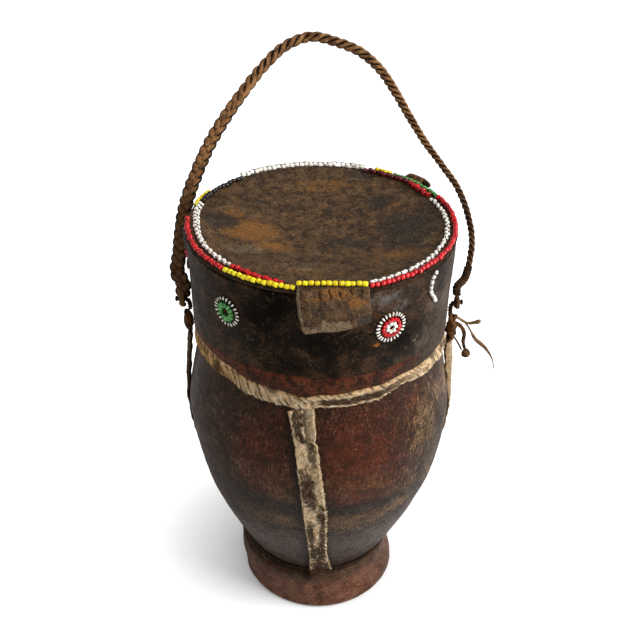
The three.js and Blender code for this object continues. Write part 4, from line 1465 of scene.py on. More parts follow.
def make_front_tab():
    path = front_tab_path()
    along = heading(path)
    facing = np.cross(along, [1.0, 0, 0])
    reach = length_along(path)
    ragged = strip_ripples(reach, 0 * reach, 7, 63)
    left = -TAB_HALF + 0.5 * ragged + 0.4 * ease((reach - 20) / 10)
    right = TAB_HALF + 0.3 * ragged - 1.0 * ease((reach - 22) / 8)
    body, _, along_all, across_all = strip(path, facing, left, right, TAB_THICKNESS, 96, tab_lift, tab_relief)
    end = reach[-1]
    ragged_end = 2.2 * strip_ripples(across_all, along_all, 6, 64)
    pale = ease((along_all - end + 6 + ragged_end) / 3) * ease((8.5 - across_all + ragged_end) / 3) * 2.2
    pale = pale + 0.9 * ease((-across_all - 15.6) / 1.2)
    rust = 0.62 * spot(across_all, along_all, (12, 14), (5, 4))
    rust = rust + 0.45 * spot(across_all, along_all, (2, 7), (14, 3.5)) + 0.2
    blue = 0.85 * ease((across_all - 8) / 4) * ease((along_all - 20) / 6)
    values = {"pale": pale, "rust": rust, "blue": blue, "edge": 0.65 * slit_depth(along_all, across_all)}
    piece("front_tab_hide", "front_flap", ["front_tab"], [top_leather], body, values)


make_front_tab()

# %% Beads on the front tab


def make_tab_beads():
    """A straight row of beads across the tab, just behind its bend."""
    count = 12
    x = TAB_OFFSET + ((np.arange(count) + 0.5) / count - 0.5) * count * BEAD_PITCH
    y = -(TOP_RADIUS + TAB_LIFT - 3.9) + 0 * x
    z = CAP_TOP + TAB_LIFT + TAB_THICKNESS / 2 + SEAT + BEAD_RADIUS - RIM_TIP + 0 * x
    centres = np.stack([x, y, z], 1)
    along = np.broadcast_to([1.0, 0, 0], centres.shape)
    up = np.broadcast_to([0, 0, 1.0], centres.shape)
    bead_piece("front_tab_bead_string", "front_flap", "front_tab_beads", "yellow", centres, along, up,
               BEAD_RADIUS, BEAD_PITCH * BEAD_SHARE, 401)


make_tab_beads()

# %% Rear tab
REAR_TAB_AZIMUTH = 44.5
REAR_TAB_REACH = 8.0
REAR_TAB_DROP = 11.0
REAR_TAB_WIDTH = 17.0


def make_rear_tab():
    """A curled tab behind the rim. Its path goes out and down, and its front corner is drawn to a point."""
    reach, rise = np.array([
        (0.5, -2.2), (1.6, -1.3), (3.3, -0.1), (5.9, 1.2), (REAR_TAB_REACH, -1),
        (REAR_TAB_REACH + 0.3, -5.4), (REAR_TAB_REACH - 1, -REAR_TAB_DROP),
    ]).T
    line = polar(REAR_TAB_AZIMUTH, TOP_RADIUS + SEAT + reach, CAP_TOP + rise + RIM_TIP * 0.7)
    path = curve(line, 40)
    facing = np.cross(heading(path), polar(REAR_TAB_AZIMUTH + 90, 1.0, 0))
    reach = length_along(path)
    share = reach / reach[-1]
    left = 3.4 - REAR_TAB_WIDTH / 2 - 3.6 * bell((share - 0.56) / 0.13)
    right = REAR_TAB_WIDTH / 2 - 7 * ease(share / 0.9)

    def lift(along_now, across):
        """The tab bends with the rim, and its drawn-out corner curls up."""
        wall = across**2 / (2 * TOP_RADIUS) * ease(1 - along_now / 14)
        return 0.25 * strip_ripples(across, along_now, 9, 71) - wall * 0.6

    body = strip(path, facing, left, right, 1.4, 40, lift)[0]
    values = same_all_over(body, pale=0.35, rust=0.5, blue=0)
    piece("rear_tab_hide", "rear_flap", ["rear_tab"], [top_leather], body, values)


make_rear_tab()

# %% [markdown]
# ## The hide and its hair
#
# The harness is strips of hide with the hair left on. Each strip is a body with a hairy face: thousands of
# short bent spikes stand on the skin, in clumps that lie the same way. One hair has ten triangles. It is
# made once and copied by numpy, and each clump takes its shade from smooth noise at its root.

# %% Hide and hair materials
HAIR_CREAM = colour(255, 238, 204)
HAIR_TAN = colour(188, 146, 96)
HAIR_GOLD = colour(206, 150, 74)
HAIR_DARK = colour(54, 35, 22)
HIDE_TAN = colour(206, 172, 128)
HIDE_DARK = colour(66, 46, 30)


def hair_material():
    look = Look("hide_hair", 0.55)
    shade = look.mix(look.value("tint"), HAIR_TAN, HAIR_CREAM)
    return look.dress(shade.paint(HAIR_GOLD, look.value("gold") * 0.75).paint(HAIR_DARK, look.value("dark")))


def hide_material():
    look = Look("hide_skin", 0.6)
    blotches = look.group(BLOTCHES, Size=6.0, Cover=0.45, Edge=0.12)["Mask"]
    shade = look.mix(blotches * 0.7, HIDE_TAN, HIDE_DARK).paint(HAIR_DARK, look.value("dark"))
    return look.dress(shade, None, look.group(GRAIN, Size=0.9)["Height"], 0.2)


hair_look, hide_look = hair_material(), hide_material()

# %% Hairs
HAIR_THICK = 0.1


def hair_body():
    """One hair of length 1 along x: three sides, arched in the middle and drawn to a tip."""
    turn = np.radians([90, 210, 330])
    root = np.stack([0 * turn, np.cos(turn), np.sin(turn)], 1)
    points = np.concatenate([root, root * [1, 0.8, 0.8] + [0.55, 0, 0.9], [[1, 0, 0]]])
    quads = np.array([(0, 1, 4, 3), (1, 2, 5, 4), (2, 0, 3, 5)])
    return points, quads, np.array([(3, 4, 6), (4, 5, 6), (5, 3, 6), (0, 2, 1)])


HAIR = hair_body()


def hairs(grid, count, length, way, darkness, seed):
    """Hairs rooted all over a grid of face points. way gives the turn in degrees from the grid's rows
    towards its columns, and darkness a 0 to 1 value, both from the shares of rows and columns."""
    rng = np.random.default_rng(seed)
    rows, columns = grid.shape[:2]
    u, v = rng.uniform(0, rows - 1.001, count), rng.uniform(0, columns - 1.001, count)
    i, j = u.astype(int), v.astype(int)
    along, across = grid[i + 1, j] - grid[i, j], grid[i, j + 1] - grid[i, j]
    root = grid[i, j] + along * (u - i)[:, None] + across * (v - j)[:, None]
    normal = unit(np.cross(across, along))
    row_share, column_share = u / (rows - 1), v / (columns - 1)
    clump = ripples(root, 5.5, seed + 1)
    turn = np.radians(way(row_share, column_share) + 22 * clump + rng.normal(0, 8, count))
    lie = unit(along) * np.cos(turn)[:, None] + unit(across) * np.sin(turn)[:, None]
    rise = np.radians(rng.uniform(2, 12, count) + 4 * clump)[:, None]
    frames = frames_from(lie * np.cos(rise) + normal * np.sin(rise), normal)
    size = length * rng.uniform(0.6, 1.15, count)
    thick = HAIR_THICK * rng.uniform(0.75, 1.25, count)
    body = copies(HAIR, root - normal * 0.08, frames, np.stack([size, thick, thick], 1))
    tint = np.clip(0.8 + 0.5 * ripples(root, 3.4, seed + 2) + rng.normal(0, 0.22, count), 0, 1)
    dark = np.clip(darkness(row_share, column_share) + rng.normal(0, 0.13, count), 0, 1)
    each = len(HAIR[0])
    return body, np.repeat(tint, each), np.repeat(dark, each)


def hairy_piece(name, replaced, skin, hair, skin_dark):
    """A strip of hide and its hairs as one piece with two materials. Far round at the left, where smoke
    has yellowed the hide, the hair is golden."""
    body, tint, dark = hair
    shape, second = join_marked(skin, body)
    azimuth = np.degrees(np.arctan2(shape[0][:, 1], shape[0][:, 0]))
    gold = ease((30 - np.abs(from_azimuth(azimuth, -148))) / 18) * (name == "ring_strap_hide")
    tint = np.append(np.zeros(len(skin[0])), tint)
    skin_dark = np.broadcast_to(skin_dark, (len(skin[0]),))
    values = {"tint": tint, "dark": np.append(skin_dark, dark), "gold": gold}
    piece(name, "root", replaced, [hide_look, hair_look], shape, values, second)


print("triangles of one hair:", 2 * len(HAIR[1]) + len(HAIR[2]))

# %% Ring strap
RING_TOP = node_box("ring_strap")[1][2]
RING_THICKNESS = 2.2
STRAP_AZIMUTH = -97  # where the front strap hangs from the ring
RING_HEIGHTS = [
    (-180, 9.4), (-133, 8.6), (-110, 8.8), (-97, 7.2), (-86, 7.2), (-68, 8.8), (-50, 6.8), (-33, 8.8),
    (0, 9.2), (90, 8.6), (180, 9.4),
]


def make_ring_strap():
    """The strap round the shoulder. Its edges wander, its upper edge is a clean cut, the rest is hairy."""
    rows, columns = 480, 12
    azimuth = around(rows)[:, None]
    high = RING_TOP - 0.2 + harness_level(azimuth)
    low = high - round_table(azimuth, RING_HEIGHTS) + 0.25 * round_ripples(azimuth, 0.0, 5, 81)
    share = spread(0, 1, columns)[None, :]
    z = between(high, low, share)
    roll = 0.3 * ripples(polar(azimuth, RIPPLE_RADIUS, 0.0) + share[..., None] * 9, 11, 82)
    edge = rounded(np.clip(np.minimum(share, 1 - share) * 6, 0, 1))
    outer = vessel_skin(azimuth, z) + SEAT + RING_THICKNESS * (0.45 + 0.55 * edge) + roll * edge * 0.6
    inner = vessel_skin(azimuth, z) + SEAT
    face = polar(azimuth, outer, z)
    rings = np.concatenate([face, polar(azimuth, inner, z)[:, ::-1]], 1)
    closed_face = np.concatenate([face, face[:1]])[:, 2:]

    def way(row, column):
        """Hairs slant down and to the right on the left side, and lie flatter on the right side."""
        return np.where(from_azimuth(row * 360, STRAP_AZIMUTH) < 0, 34, 12) + 10 * np.sin(row * 40)

    def darkness(row, column):
        """Dark skin shows between the pale edges right of the front strap, and in patches elsewhere."""
        turned = from_azimuth(row * 360, STRAP_AZIMUTH)
        inside = ease((0.36 - np.abs(column - 0.48)) / 0.14)
        right = ease((turned - 3) / 6) * inside * ease((70 - turned) / 40)
        streaks = strip_ripples(row * 470 - column * 5, column * 3, 3.2, 85)
        patches = ease(strip_ripples(row * 470, column * 8, 16, 83) - 0.45) * 0.8
        patches = np.maximum(patches, 0.8 * ease(streaks * 1.6 - 0.15))
        return np.maximum(right, patches)

    row, column = np.meshgrid(np.arange(rows) / rows, (np.arange(columns) - 2) / (columns - 3), indexing="ij")
    face_dark = darkness(row, column)
    dark = np.concatenate([face_dark, np.full((rows, columns), 0.5)], 1)[::-1].ravel()
    hair = hairs(closed_face, 9500, 2.6, way, darkness, 84)
    hairy_piece("ring_strap_hide", ["ring_strap"], looped(rings[::-1]), hair, dark)


make_ring_strap()

# %% Front strap
STRAP_THICKNESS = 1.8
THONG_RADIUS = 1.3
FRONT_STRAP_MIDDLE = [(0, -9.5), (0.48, -1.6), (0.8, 0.9), (1, 2.4)]
FOLD_BESIDE = 3.2
FOLD_HALF = 2.6
THONG_RING = WAIST_RADIUS + SEAT + THONG_RADIUS
OVER_THONG = THONG_RING + THONG_RADIUS + SEAT + STRAP_THICKNESS / 2
STRAP_PATCHES = [
    (0.05, 0.5, 0.07, 0.4, 0.8), (0.12, 0.7, 0.05, 0.24, 0.8), (0.17, 0.74, 0.06, 0.22, 0.6),
    (0.34, 0.26, 0.11, 0.36, 0.88), (0.41, 0.45, 0.05, 0.3, 0.7), (0.5, 0.8, 0.07, 0.28, 0.85),
    (0.62, 0.2, 0.1, 0.26, 0.8), (0.65, 0.82, 0.09, 0.22, 0.8), (0.8, 0.5, 0.1, 0.56, 0.85),
    (0.95, 0.5, 0.08, 0.6, 0.95),
]


def uneven_edges(path, left, right, rough, wavelength, seed):
    """The two edges of a strip, each with its own unevenness."""
    left = left + rough * ripples(path, wavelength, seed)
    return left, right + rough * ripples(path, wavelength, seed + 1)


def strap_path(azimuth, offset, top, count=120):
    """Down the belly and over the thong at the waist, at a sideways offset that may change on the way."""
    z = spread(top, STRAP_BOTTOM, count)
    offset = np.broadcast_to(offset, (count,))
    even = vessel_radius(z) + SEAT + STRAP_THICKNESS / 2
    radius = np.maximum(np.where(z < WAIST_HEIGHT + 2 * THONG_RADIUS + SEAT, 0, even), OVER_THONG)
    turn = azimuth + np.degrees(offset / radius)
    return polar(turn, radius + carving(turn, z) * ease((z - 40) / 15), z)


def strap_patches(row, column, places):
    """Dark patches with wandering edges: (along, across, half length, half width, strength) in shares."""
    wander = 0.5 * strip_ripples(row * 150 - column * 8, column * 13, 6, 90)
    wander = wander + 0.4 * strip_ripples(row * 150 - column * 8, column * 26, 2.5, 89)
    total = 0 * row
    for along, across, long, wide, strength in places:
        near = ((row - along) / long) ** 2 + ((column - across) / wide) ** 2 + wander
        total = np.maximum(total, strength * ease(1.7 - 1.2 * near))
    return total


def make_front_strap():
    """The strip down the belly. Its middle line and its edges are given at shares of the way down."""
    share = spread(0, 1, 120)
    middle = np.interp(share, *np.array(FRONT_STRAP_MIDDLE).T)
    level = harness_level(np.array([STRAP_AZIMUTH]))[0]
    path = strap_path(-90, middle, STRAP_TOP + min(level, 0) * 0.6)
    reach = length_along(path)
    left, right = front_strap_edges(share)
    left, right = uneven_edges(path, left - middle, right - middle, 0.25, 4, 91)

    def lift(along, across):
        """The long edges curl up, and the strap undulates a little."""
        wide = np.abs(across) / 6.5
        return 0.9 * np.clip(wide, 0, 1.1) ** 4 + 0.3 * strip_ripples(across, along, 18, 93) + 0.1

    def relief(along, across):
        """Two holes where a thong once passed through the lower end, and unevenness."""
        return -1.3 * holes(across, along, (0.9, 1.1)) + 0.15 * strip_ripples(across, along, 4, 94)

    def holes(across, along, size):
        return sum(spot(across, along, (place, reach[-1] - 4.4), size) for place in (-1.2, 3.4))

    body = strip(path, outward(path), left, right, STRAP_THICKNESS, 26, lift, relief)
    skin, face, along_all, across_all = body

    def way(row, column):
        return -28 + 40 * (column - 0.5) + 25 * np.sin(row * 9)

    def darkness(row, column):
        """Dark patches with lighter edges, and fine streaks that lie aslant like the hair."""
        light_edge = ease((np.abs(column - 0.5) - 0.42) / 0.05) * 0.35
        streaks = strip_ripples(row * 40 + column * 9, row * 150 - column * 6, 2.6, 99)
        patches = strap_patches(row, 1 - column, STRAP_PATCHES) * (1 - light_edge)
        light = (0.45 * streaks - 0.02) * (1 - patches)
        return np.clip(1.25 * patches * (1 - 0.3 * ease(streaks)) + light, 0, 1)

    from_left = across_all - np.interp(along_all, reach, left)
    column = 1 - from_left / np.interp(along_all, reach, right - left)
    cut_end = ease((along_all / reach[-1] - 0.955) / 0.02)
    skin_dark = 0.1 + darkness(along_all / reach[-1], column) + holes(across_all, along_all, (1.1, 1.3))
    hair = hairs(face[:-4], 8000, 2.0, way, darkness, 95)
    hairy_piece("front_strap_hide", ["front_strap"], skin, hair, np.clip(skin_dark + cut_end, 0, 1))


def make_fold():
    """The short strip beside the front strap's upper end, where a second piece of hide was folded in."""
    low, high = node_box("front_strap_fold")
    length_share = (high[2] - low[2]) / (STRAP_TOP - STRAP_BOTTOM)
    share = spread(0, length_share, 24)
    offset = np.interp(share, *FRONT_STRAP_EDGES[[0, 2]][:, [0, 2]].T) + FOLD_BESIDE
    z = spread(STRAP_TOP - 0.6, low[2] + 0.6, 24)
    radius = vessel_radius(z) + SEAT + STRAP_THICKNESS / 2
    turn = -90 + np.degrees(offset / radius)
    path = polar(turn, radius + carving(turn, z), z)
    left, right = uneven_edges(path, -FOLD_HALF, FOLD_HALF, 0.2, 5, 96)

    def lift(along, across):
        return 0.9 * np.clip(across / 2.8, 0, 1) ** 2

    def way(row, column):
        return 20 + 30 * np.sin(row * 5)

    def darkness(row, column):
        return 0.8 - 0.75 * (1 - column)

    skin, face = strip(path, outward(path), left, right, STRAP_THICKNESS, 12, lift)[:2]
    hair = hairs(face, 700, 2.3, way, darkness, 98)
    hairy_piece("front_fold_hide", ["front_strap_fold"], skin, hair, 0.5)


make_front_strap()
make_fold()

# %% Side and rear straps
SIDE_WIDTH = 8.0


def plain_strap(name, node, path, dark_share, cup, seed):
    """A strap of even width, hairy on its outer face. cup is how far its edges bend in towards the belly
    where it hangs free below a knot."""
    left, right = uneven_edges(path, -SIDE_WIDTH / 2, SIDE_WIDTH / 2, 0.35, 7, seed)

    def lift(along, across):
        free = cup * (1 - ease((along - 24) / 24))
        curl = (across / 4) ** 2 * (0.4 - free) + 0.35 * free
        return curl + 0.15 * strip_ripples(across, along, 16, seed + 2)

    def darkness(row, column):
        return np.clip(dark_share + 0.5 * strip_ripples(row * 160, column * 8, 30, seed + 3), 0, 1)

    skin, face = strip(path, outward(path), left, right, STRAP_THICKNESS, 14, lift)[:2]
    hair = hairs(face, 2200, 2.6, lambda row, column: 15 * np.sin(row * 12), darkness, seed + 4)
    hairy_piece(name, [node], skin, hair, min(1, dark_share + 0.2))


def side_path(azimuth, node):
    """From under the knot straight down to the fullest part of the belly, then along it to the waist."""
    low, high = node_box(node)
    belly = strap_path(azimuth, 0, BELLY_HEIGHT + 4, 90)
    reach = max(abs(low[0] + high[0]), abs(low[1] + high[1])) / 2
    start = polar(azimuth, reach, low[2] - SEAT - 0.3)
    return curve(np.concatenate([[start], belly[::6], belly[-1:]]), 130)


plain_strap("left_strap_hide", "left_strap", side_path(180, "left_knot"), 0.8, 1.9, 500)
plain_strap("right_strap_hide", "right_strap", side_path(0, "right_knot"), 0.3, 3.4, 510)
plain_strap("rear_strap_hide", "rear_strap", strap_path(90, 0, STRAP_TOP), 0.35, 0, 520)

# %% [markdown]
# ## Thongs, knots and lashings
#
# Raw leather cut into narrow thongs ties everything. A thong is an uneven tube that is drawn in at its ends.
# A knot is a core with thong wound round it, and a lashing is two thongs twisted into one.

# %% Thong leather
THONG_BLACK = colour(20, 15, 12)
THONG_DARK = colour(48, 31, 20)
THONG_BROWN = colour(98, 65, 38)
THONG_PALE = colour(150, 124, 92)


def thong_material():
    look = Look("thong_leather", 0.55)
    shade = look.mix(look.noise(5, 5, 0.7).step(0.38, 0.62), THONG_DARK, THONG_BROWN)
    worn = (look.value("pale") + look.noise(2, 5, 0.7) * 0.5).step(0.45, 1.0)
    shade = shade.paint(THONG_BLACK, look.value("sooty")).paint(THONG_PALE, worn)
    return look.dress(shade, None, look.group(GRAIN, Size=0.8)["Height"], 0.25)


thong_look = thong_material()


def thong_piece(name, body, node, shape, pale=0.0, sooty=0.0):
    values = same_all_over(shape, pale=pale, sooty=sooty)
    piece(name, body, [node], [thong_look], shape, values)


# %% Waist thong
def make_waist_thong():
    """A thong round the waist, uneven along its length."""
    azimuth, turn = around(260)[:, None], whole_turn(10)
    thick = 0.72 * THONG_RADIUS * (1 + 0.15 * ripples(polar(azimuth, THONG_RING, 0), 9, 101))
    rings = polar(azimuth, THONG_RING - 0.4 + thick * np.cos(turn), WAIST_HEIGHT + thick * np.sin(turn))
    thong_piece("waist_thong_leather", "root", "waist_thong", looped(rings[::-1]), 0.0, 0.85)


make_waist_thong()

# %% Knots and lashings
LASHING_RADIUS = 1.6
TURN_STEP = 24


def wound(centre, half_sizes, turns, thick, tilt, seed):
    """A thong wound round an egg: a spiral over it from top to bottom, leaning by tilt. half_sizes are its
    half depth, width and height."""
    count = int(turns * TURN_STEP)
    share = spread(0.04, 0.96, count)
    turn = 2 * np.pi * turns * share
    height = np.cos(np.pi * share)
    radius = np.sqrt(1 - height**2)
    path = np.stack([radius * np.cos(turn), radius * np.sin(turn), height + tilt * radius * np.cos(turn)], 1)
    path = path * (np.array(half_sizes) - thick * 0.8) + 0.12 * ripples(path * 9, 8, seed)[:, None]
    return thong(path + centre, unit(path), thick, 7, 0.8, 0.08, seed)


def egg(centre, half_sizes, sides=16):
    """A smooth lump: a sphere stretched to its half sizes."""
    rise = np.radians(spread(-86, 86, 11))[:, None]
    turn = whole_turn(sides)
    shell = np.stack([np.cos(rise) * np.cos(turn), np.cos(rise) * np.sin(turn), np.sin(rise) + 0 * turn], -1)
    return capped(shell * np.array(half_sizes) + centre)


def make_left_knot():
    """A smooth lump of folded leather with one thong round it."""
    middle, half = node_middle("left_knot")
    centre, half = middle - [0.5, 0, 0], half * [1.2, 1, 1]
    bodies = [egg(centre, half * [0.95, 0.92, 0.95]), wound(centre, half, 2.2, 1.0, -0.5, 111)]
    thong_piece("left_knot_leather", "root", "left_knot", join(bodies), 0.22)


def make_right_knot():
    """Fat turns of thong that cross each other."""
    middle, half = node_middle("right_knot")
    centre, half = middle + [0.7, 0, 0], half * [1.25, 1.15, 1]
    bodies = [egg(centre, half * 0.8), wound(centre, half, 3.2, 1.45, 0.45, 112)]
    bodies.append(wound(centre, half * [0.98, 0.95, 0.85], 2.2, 1.3, -0.9, 113))
    thong_piece("right_knot_leather", "root", "right_knot", join(bodies), 0.2)


def twisted(route, apart, thick, turns, seed):
    """Two thongs twisted together along a route."""
    count = len(route)
    along = heading(route)
    side = unit(np.cross(along, [0.0, 1, 0.02]))
    other = np.cross(along, side)
    strands = []
    for start in (0, np.pi):
        turn = (start + 2 * np.pi * turns * spread(0, 1, count))[:, None]
        path = route + apart * (np.cos(turn) * side + np.sin(turn) * other)
        strands.append(thong(path, unit(path - route), thick, 8, 0.9, 0.06, seed))
    return join(strands)


def make_lashing(side, sign, node):
    """Up from the knot and outwards through the loop of the handle."""
    low, high = node_box(node)
    inner = (high if sign < 0 else low)[0]
    far = (low if sign < 0 else high)[0]
    reach = inner + sign * LASHING_RADIUS
    turn_out = 2 * LASHING_RADIUS
    places = [
        (reach, low[2] + 0.3), (reach, PIVOT_HEIGHT - turn_out),
        (reach + sign * turn_out / 4, PIVOT_HEIGHT - turn_out / 3),
        (reach + sign * 0.8 * turn_out, PIVOT_HEIGHT), (far, PIVOT_HEIGHT),
    ]
    route = curve([(x, 0, z) for x, z in places], 90)
    knob = egg((far - sign * 0.4, 0, PIVOT_HEIGHT), (0.9, 1.75, 1.75), 14)
    shape = join([twisted(route, 0.72, 0.84, 3.5, 121), knob])
    thong_piece(side + "_lashing_thongs", "root", node, shape, 0.0, 0.45)


make_left_knot()
make_right_knot()
make_lashing("left", -1, "left_lashing")
make_lashing("right", 1, "right_lashing")

# %% [markdown]
# The loose ends at the right are short and dried stiff, so they keep their shape. Their places are measured
# from the knot's outer face and its top, as in the model: out, sideways and down.

# %% Loose thong ends
KNOT_FACE, _, KNOT_TOP = node_box("right_knot")[1]
TAILS = {
    "right_tail_short": (
        [(-2, 0.2, 2.2), (0.2, 0, 2.5), (3.8, -0.6, 4.4), (7.4, -1.2, 6), (11.2, -1.8, 5.1), (15, -2.2, 3.7)],
        [1.1, 1.1, 1.2, 1.2, 1.7, 1.9], 0.45, 0.5,
    ),
    "right_tail_long": (
        [(5.4, -1, 5.6), (7.6, -1.2, 8.2), (12.7, -2.4, 16.5), (19.3, -3.6, 22.3), (23.6, -4.4, 28.7),
         (26.1, -4.8, 37.4)],
        [0.7, 0.9, 1.7, 1.4, 0.6, 0.4], 0.5, 0.35,
    ),
    "right_loop_thong": (
        [(-2, 0, 6), (1.1, 0, 7.2), (4.2, 0, 9.9), (6.1, 0, 14.5), (6, 0, 20), (7.45, 0, 25.6)],
        [1.4, 1.3, 1.2, 1.1], 0.9, 0.2,
    ),
    "right_loop_return": (
        [(-2.2, 0, 14), (-0.2, 0, 16.4), (2.6, 0, 20.6), (5.6, 0, 26.3)],
        [0.65, 0.6], 0.9, 0.0,
    ),
}


def make_tail(node, points, radii, flat, pale, seed):
    points = np.array(points) * [1, 1, -1] + [KNOT_FACE, 0, KNOT_TOP]
    facing = np.array([0.05, -0.2, 1.0])
    shape = thong(curve(points, 60), facing, stretched(radii, 60), 12, flat, 0.07, seed)
    thong_piece(node + "_leather", "root", node, shape, pale)


for number, (node, details) in enumerate(TAILS.items()):
    make_tail(node, *details, 130 + number)


def make_ball():
    """A ball of leather with a thong round it."""
    centre, half = node_middle("right_ball_knot")
    bodies = [egg(centre, half * 0.96, 20), wound(centre, half * 1.04, 1.4, 0.55, 0.9, 141)]
    thong_piece("right_ball_leather", "root", "right_ball_knot", join(bodies), 0.35)


make_ball()

# %% Tag under the side string


def make_tag():
    """A small flat end of leather that hangs under the red beads at the left."""
    drop = spread(24.6, 31.5, 20)
    path = wall_point(np.full(20, 180.8), CAP_TOP - drop, SEAT + 1)
    half = np.interp(drop, [24.6, 28, 31.5], [1, 1.8, 1.4])
    shape = thong(path, outward(path), half, 12, 0.45, 0.08, 151)
    thong_piece("side_tag_leather", "cap", "side_string_tag", shape, 0.2)


make_tag()

# %% [markdown]
# ## The handle
#
# The handle is three strips of leather. On the left it is a flat plait, and over the top it turns into a
# round twist that gets thinner towards the right. In a plait each strip swings from side to side once a
# pitch and in and out twice. In a twist it goes round once a pitch. The side swing is the same sine in both,
# so one formula blends them, by changing only the in and out swing.

# %% Handle route
HANDLE_RISE = 171.5
HANDLE_LEAN = math.radians(45)
HANDLE_ARCH = [
    (-1.04, 0.082), (-1.04, 0.163), (-1.03, 0.262), (-1, 0.362), (-0.938, 0.461), (-0.861, 0.56),
    (-0.751, 0.665), (-0.611, 0.776), (-0.458, 0.88), (-0.293, 0.962), (-0.098, 1), (0.098, 0.98),
    (0.269, 0.945), (0.427, 0.878), (0.549, 0.787), (0.659, 0.688), (0.769, 0.595), (0.903, 0.501),
    (1.019, 0.414), (1.086, 0.321), (1.114, 0.227), (1.092, 0.146), (1.05, 0.082),
]
HANDLE_WIDTHS = [8.8, 8.8, 8.4, 7.9, 7.5, 6.9, 5.2, 3.8, 3.5, 3.5]
HANDLE_THICKNESSES = [5, 5, 5, 4.4, 3.6, 3.4]
STRAIGHT_END = 4
BLUNT_END = 3.2
HANDLE_ROWS = 1000
STRAND_SIDES = 12

ARCH_UP = np.array([0, math.sin(HANDLE_LEAN), math.cos(HANDLE_LEAN)])
ARCH_NORMAL = np.array([0, -math.cos(HANDLE_LEAN), math.sin(HANDLE_LEAN)])


def loop_sizes(node):
    """The middle of a loop along x and its outer radius."""
    middle, half = node_middle(node)
    return middle[0], half[2]


def handle_route():
    left, left_radius = loop_sizes("handle_loop_left")
    right, right_radius = loop_sizes("handle_loop_right")
    half_span = (right - left) / 2
    points = [(left, left_radius - BLUNT_END), (left, left_radius + 2 * SEAT + STRAIGHT_END)]
    points += [(x * half_span, rise * HANDLE_RISE) for x, rise in HANDLE_ARCH]
    points += [(right, right_radius + 2 * SEAT + STRAIGHT_END), (right, right_radius + 2 * SEAT)]
    flat = np.array(points)
    return curve(flat[:, :1] * [1, 0, 0] + flat[:, 1:] * ARCH_UP + [0, 0, PIVOT_HEIGHT], HANDLE_ROWS)


def along_handle(values):
    return stretched(values, HANDLE_ROWS)


HANDLE = handle_route()
print("handle length:", round(length_along(HANDLE)[-1]), "mm")

# %% Braid leather
BRAID_TAN = colour(150, 106, 64)
BRAID_BROWN = colour(92, 60, 36)
BRAID_DARK = colour(16, 11, 8)
BRAID_FLAKE = colour(206, 182, 146)
BRAID_END_SHADE = colour(44, 30, 20)


def braid_material():
    look = Look("braid_leather", 0.42, 0.2)
    flakes = look.noise(1.1, 5, 0.75).step(0.56, 0.66)
    deep = (look.value("deep") + look.noise(1.6, 4) * 0.3).step(0.35, 0.85)
    shade = look.mix(look.noise(6, 6, 0.7).step(0.38, 0.6), BRAID_BROWN, BRAID_TAN)
    # The stored smoke value is a painted shade on the handle's lower ends.
    shade = shade.paint(BRAID_FLAKE, flakes * 0.55).paint(BRAID_END_SHADE, look.value("smoke") * 0.72)
    relief = flakes * 0.5 + look.group(GRAIN, Size=0.7)["Height"]
    return look.dress(shade.paint(BRAID_DARK, deep), None, relief, 0.25)


braid_leather = braid_material()

# %% Handle braid
PLAIT_PITCHES = [15.6, 15.6, 18, 22, 20, 16, 12.6, 11.2, 11, 11]


def braid_piece(name, node, shape, values):
    piece(name, "handle", [node], [braid_leather], shape, values)


def make_braid():
    """Three strands swung about the handle. Sideways goes by the sine of a phase. In and out goes by the
    sine of twice the phase in the plait and by its cosine in the twist."""
    share = spread(0, 1, HANDLE_ROWS)
    reach = length_along(HANDLE)
    step = np.gradient(reach)
    turn = np.cumsum(2 * np.pi * step / along_handle(PLAIT_PITCHES))
    fuller = 1 + 0.12 * ease((share - 0.5) / 0.2)
    width, thickness = along_handle(HANDLE_WIDTHS) * fuller, along_handle(HANDLE_THICKNESSES) * fuller
    twist = ease((share - 0.26) / 0.16)
    # smoke is a painted shade: the plait is darker towards both ends, where the legs hang low by the cap.
    smoke = np.maximum(0.75 * ease((0.3 - share) / 0.22), 0.85 * ease((share - 0.68) / 0.2))
    half_wide = width / 2 * between(0.6, 0.47, twist)
    half_thick = thickness / 2 * between(0.5, 0.47, twist)
    swing = width / 2 - half_wide * 0.9
    out_swing = (thickness / 2 - half_thick) * between(0.75, 1, twist)
    along = heading(HANDLE)
    side = unit(np.cross(ARCH_NORMAL, along))
    strands, depths, end_shades = [], [], []
    for number in range(3):
        phase = turn + 2 * np.pi * number / 3
        lateral = swing * np.sin(phase)
        out = out_swing * between(np.sin(2 * phase), np.cos(phase) * 1.05, twist)
        path = HANDLE + lateral[:, None] * side + out[:, None] * ARCH_NORMAL
        facing = ARCH_NORMAL + twist[:, None] * unit(path - HANDLE) * 0.9
        slim = 0.9 + 0.1 * ease(np.minimum(reach, reach[-1] - reach) / 2)
        sections = ellipse(half_wide * slim, half_thick * slim, STRAND_SIDES)
        wobble = 1 + 0.07 * ripples(path, 5, 160 + number)[:, None, None]
        rings = sweep(path, facing, sections * wobble)
        edge = np.broadcast_to(np.abs(np.cos(whole_turn(STRAND_SIDES))) ** 2, rings.shape[:2])
        depths.append(np.append(edge.ravel(), [0.5, 0.5]))
        end_shades.append(np.append(np.repeat(smoke, STRAND_SIDES), [smoke[0], smoke[-1]]))
        strands.append(capped(rings))
    values = {"deep": np.concatenate(depths), "smoke": np.concatenate(end_shades)}
    braid_piece("handle_plait", "handle_braid", join(strands), values)


make_braid()

# %% Handle loops and binding


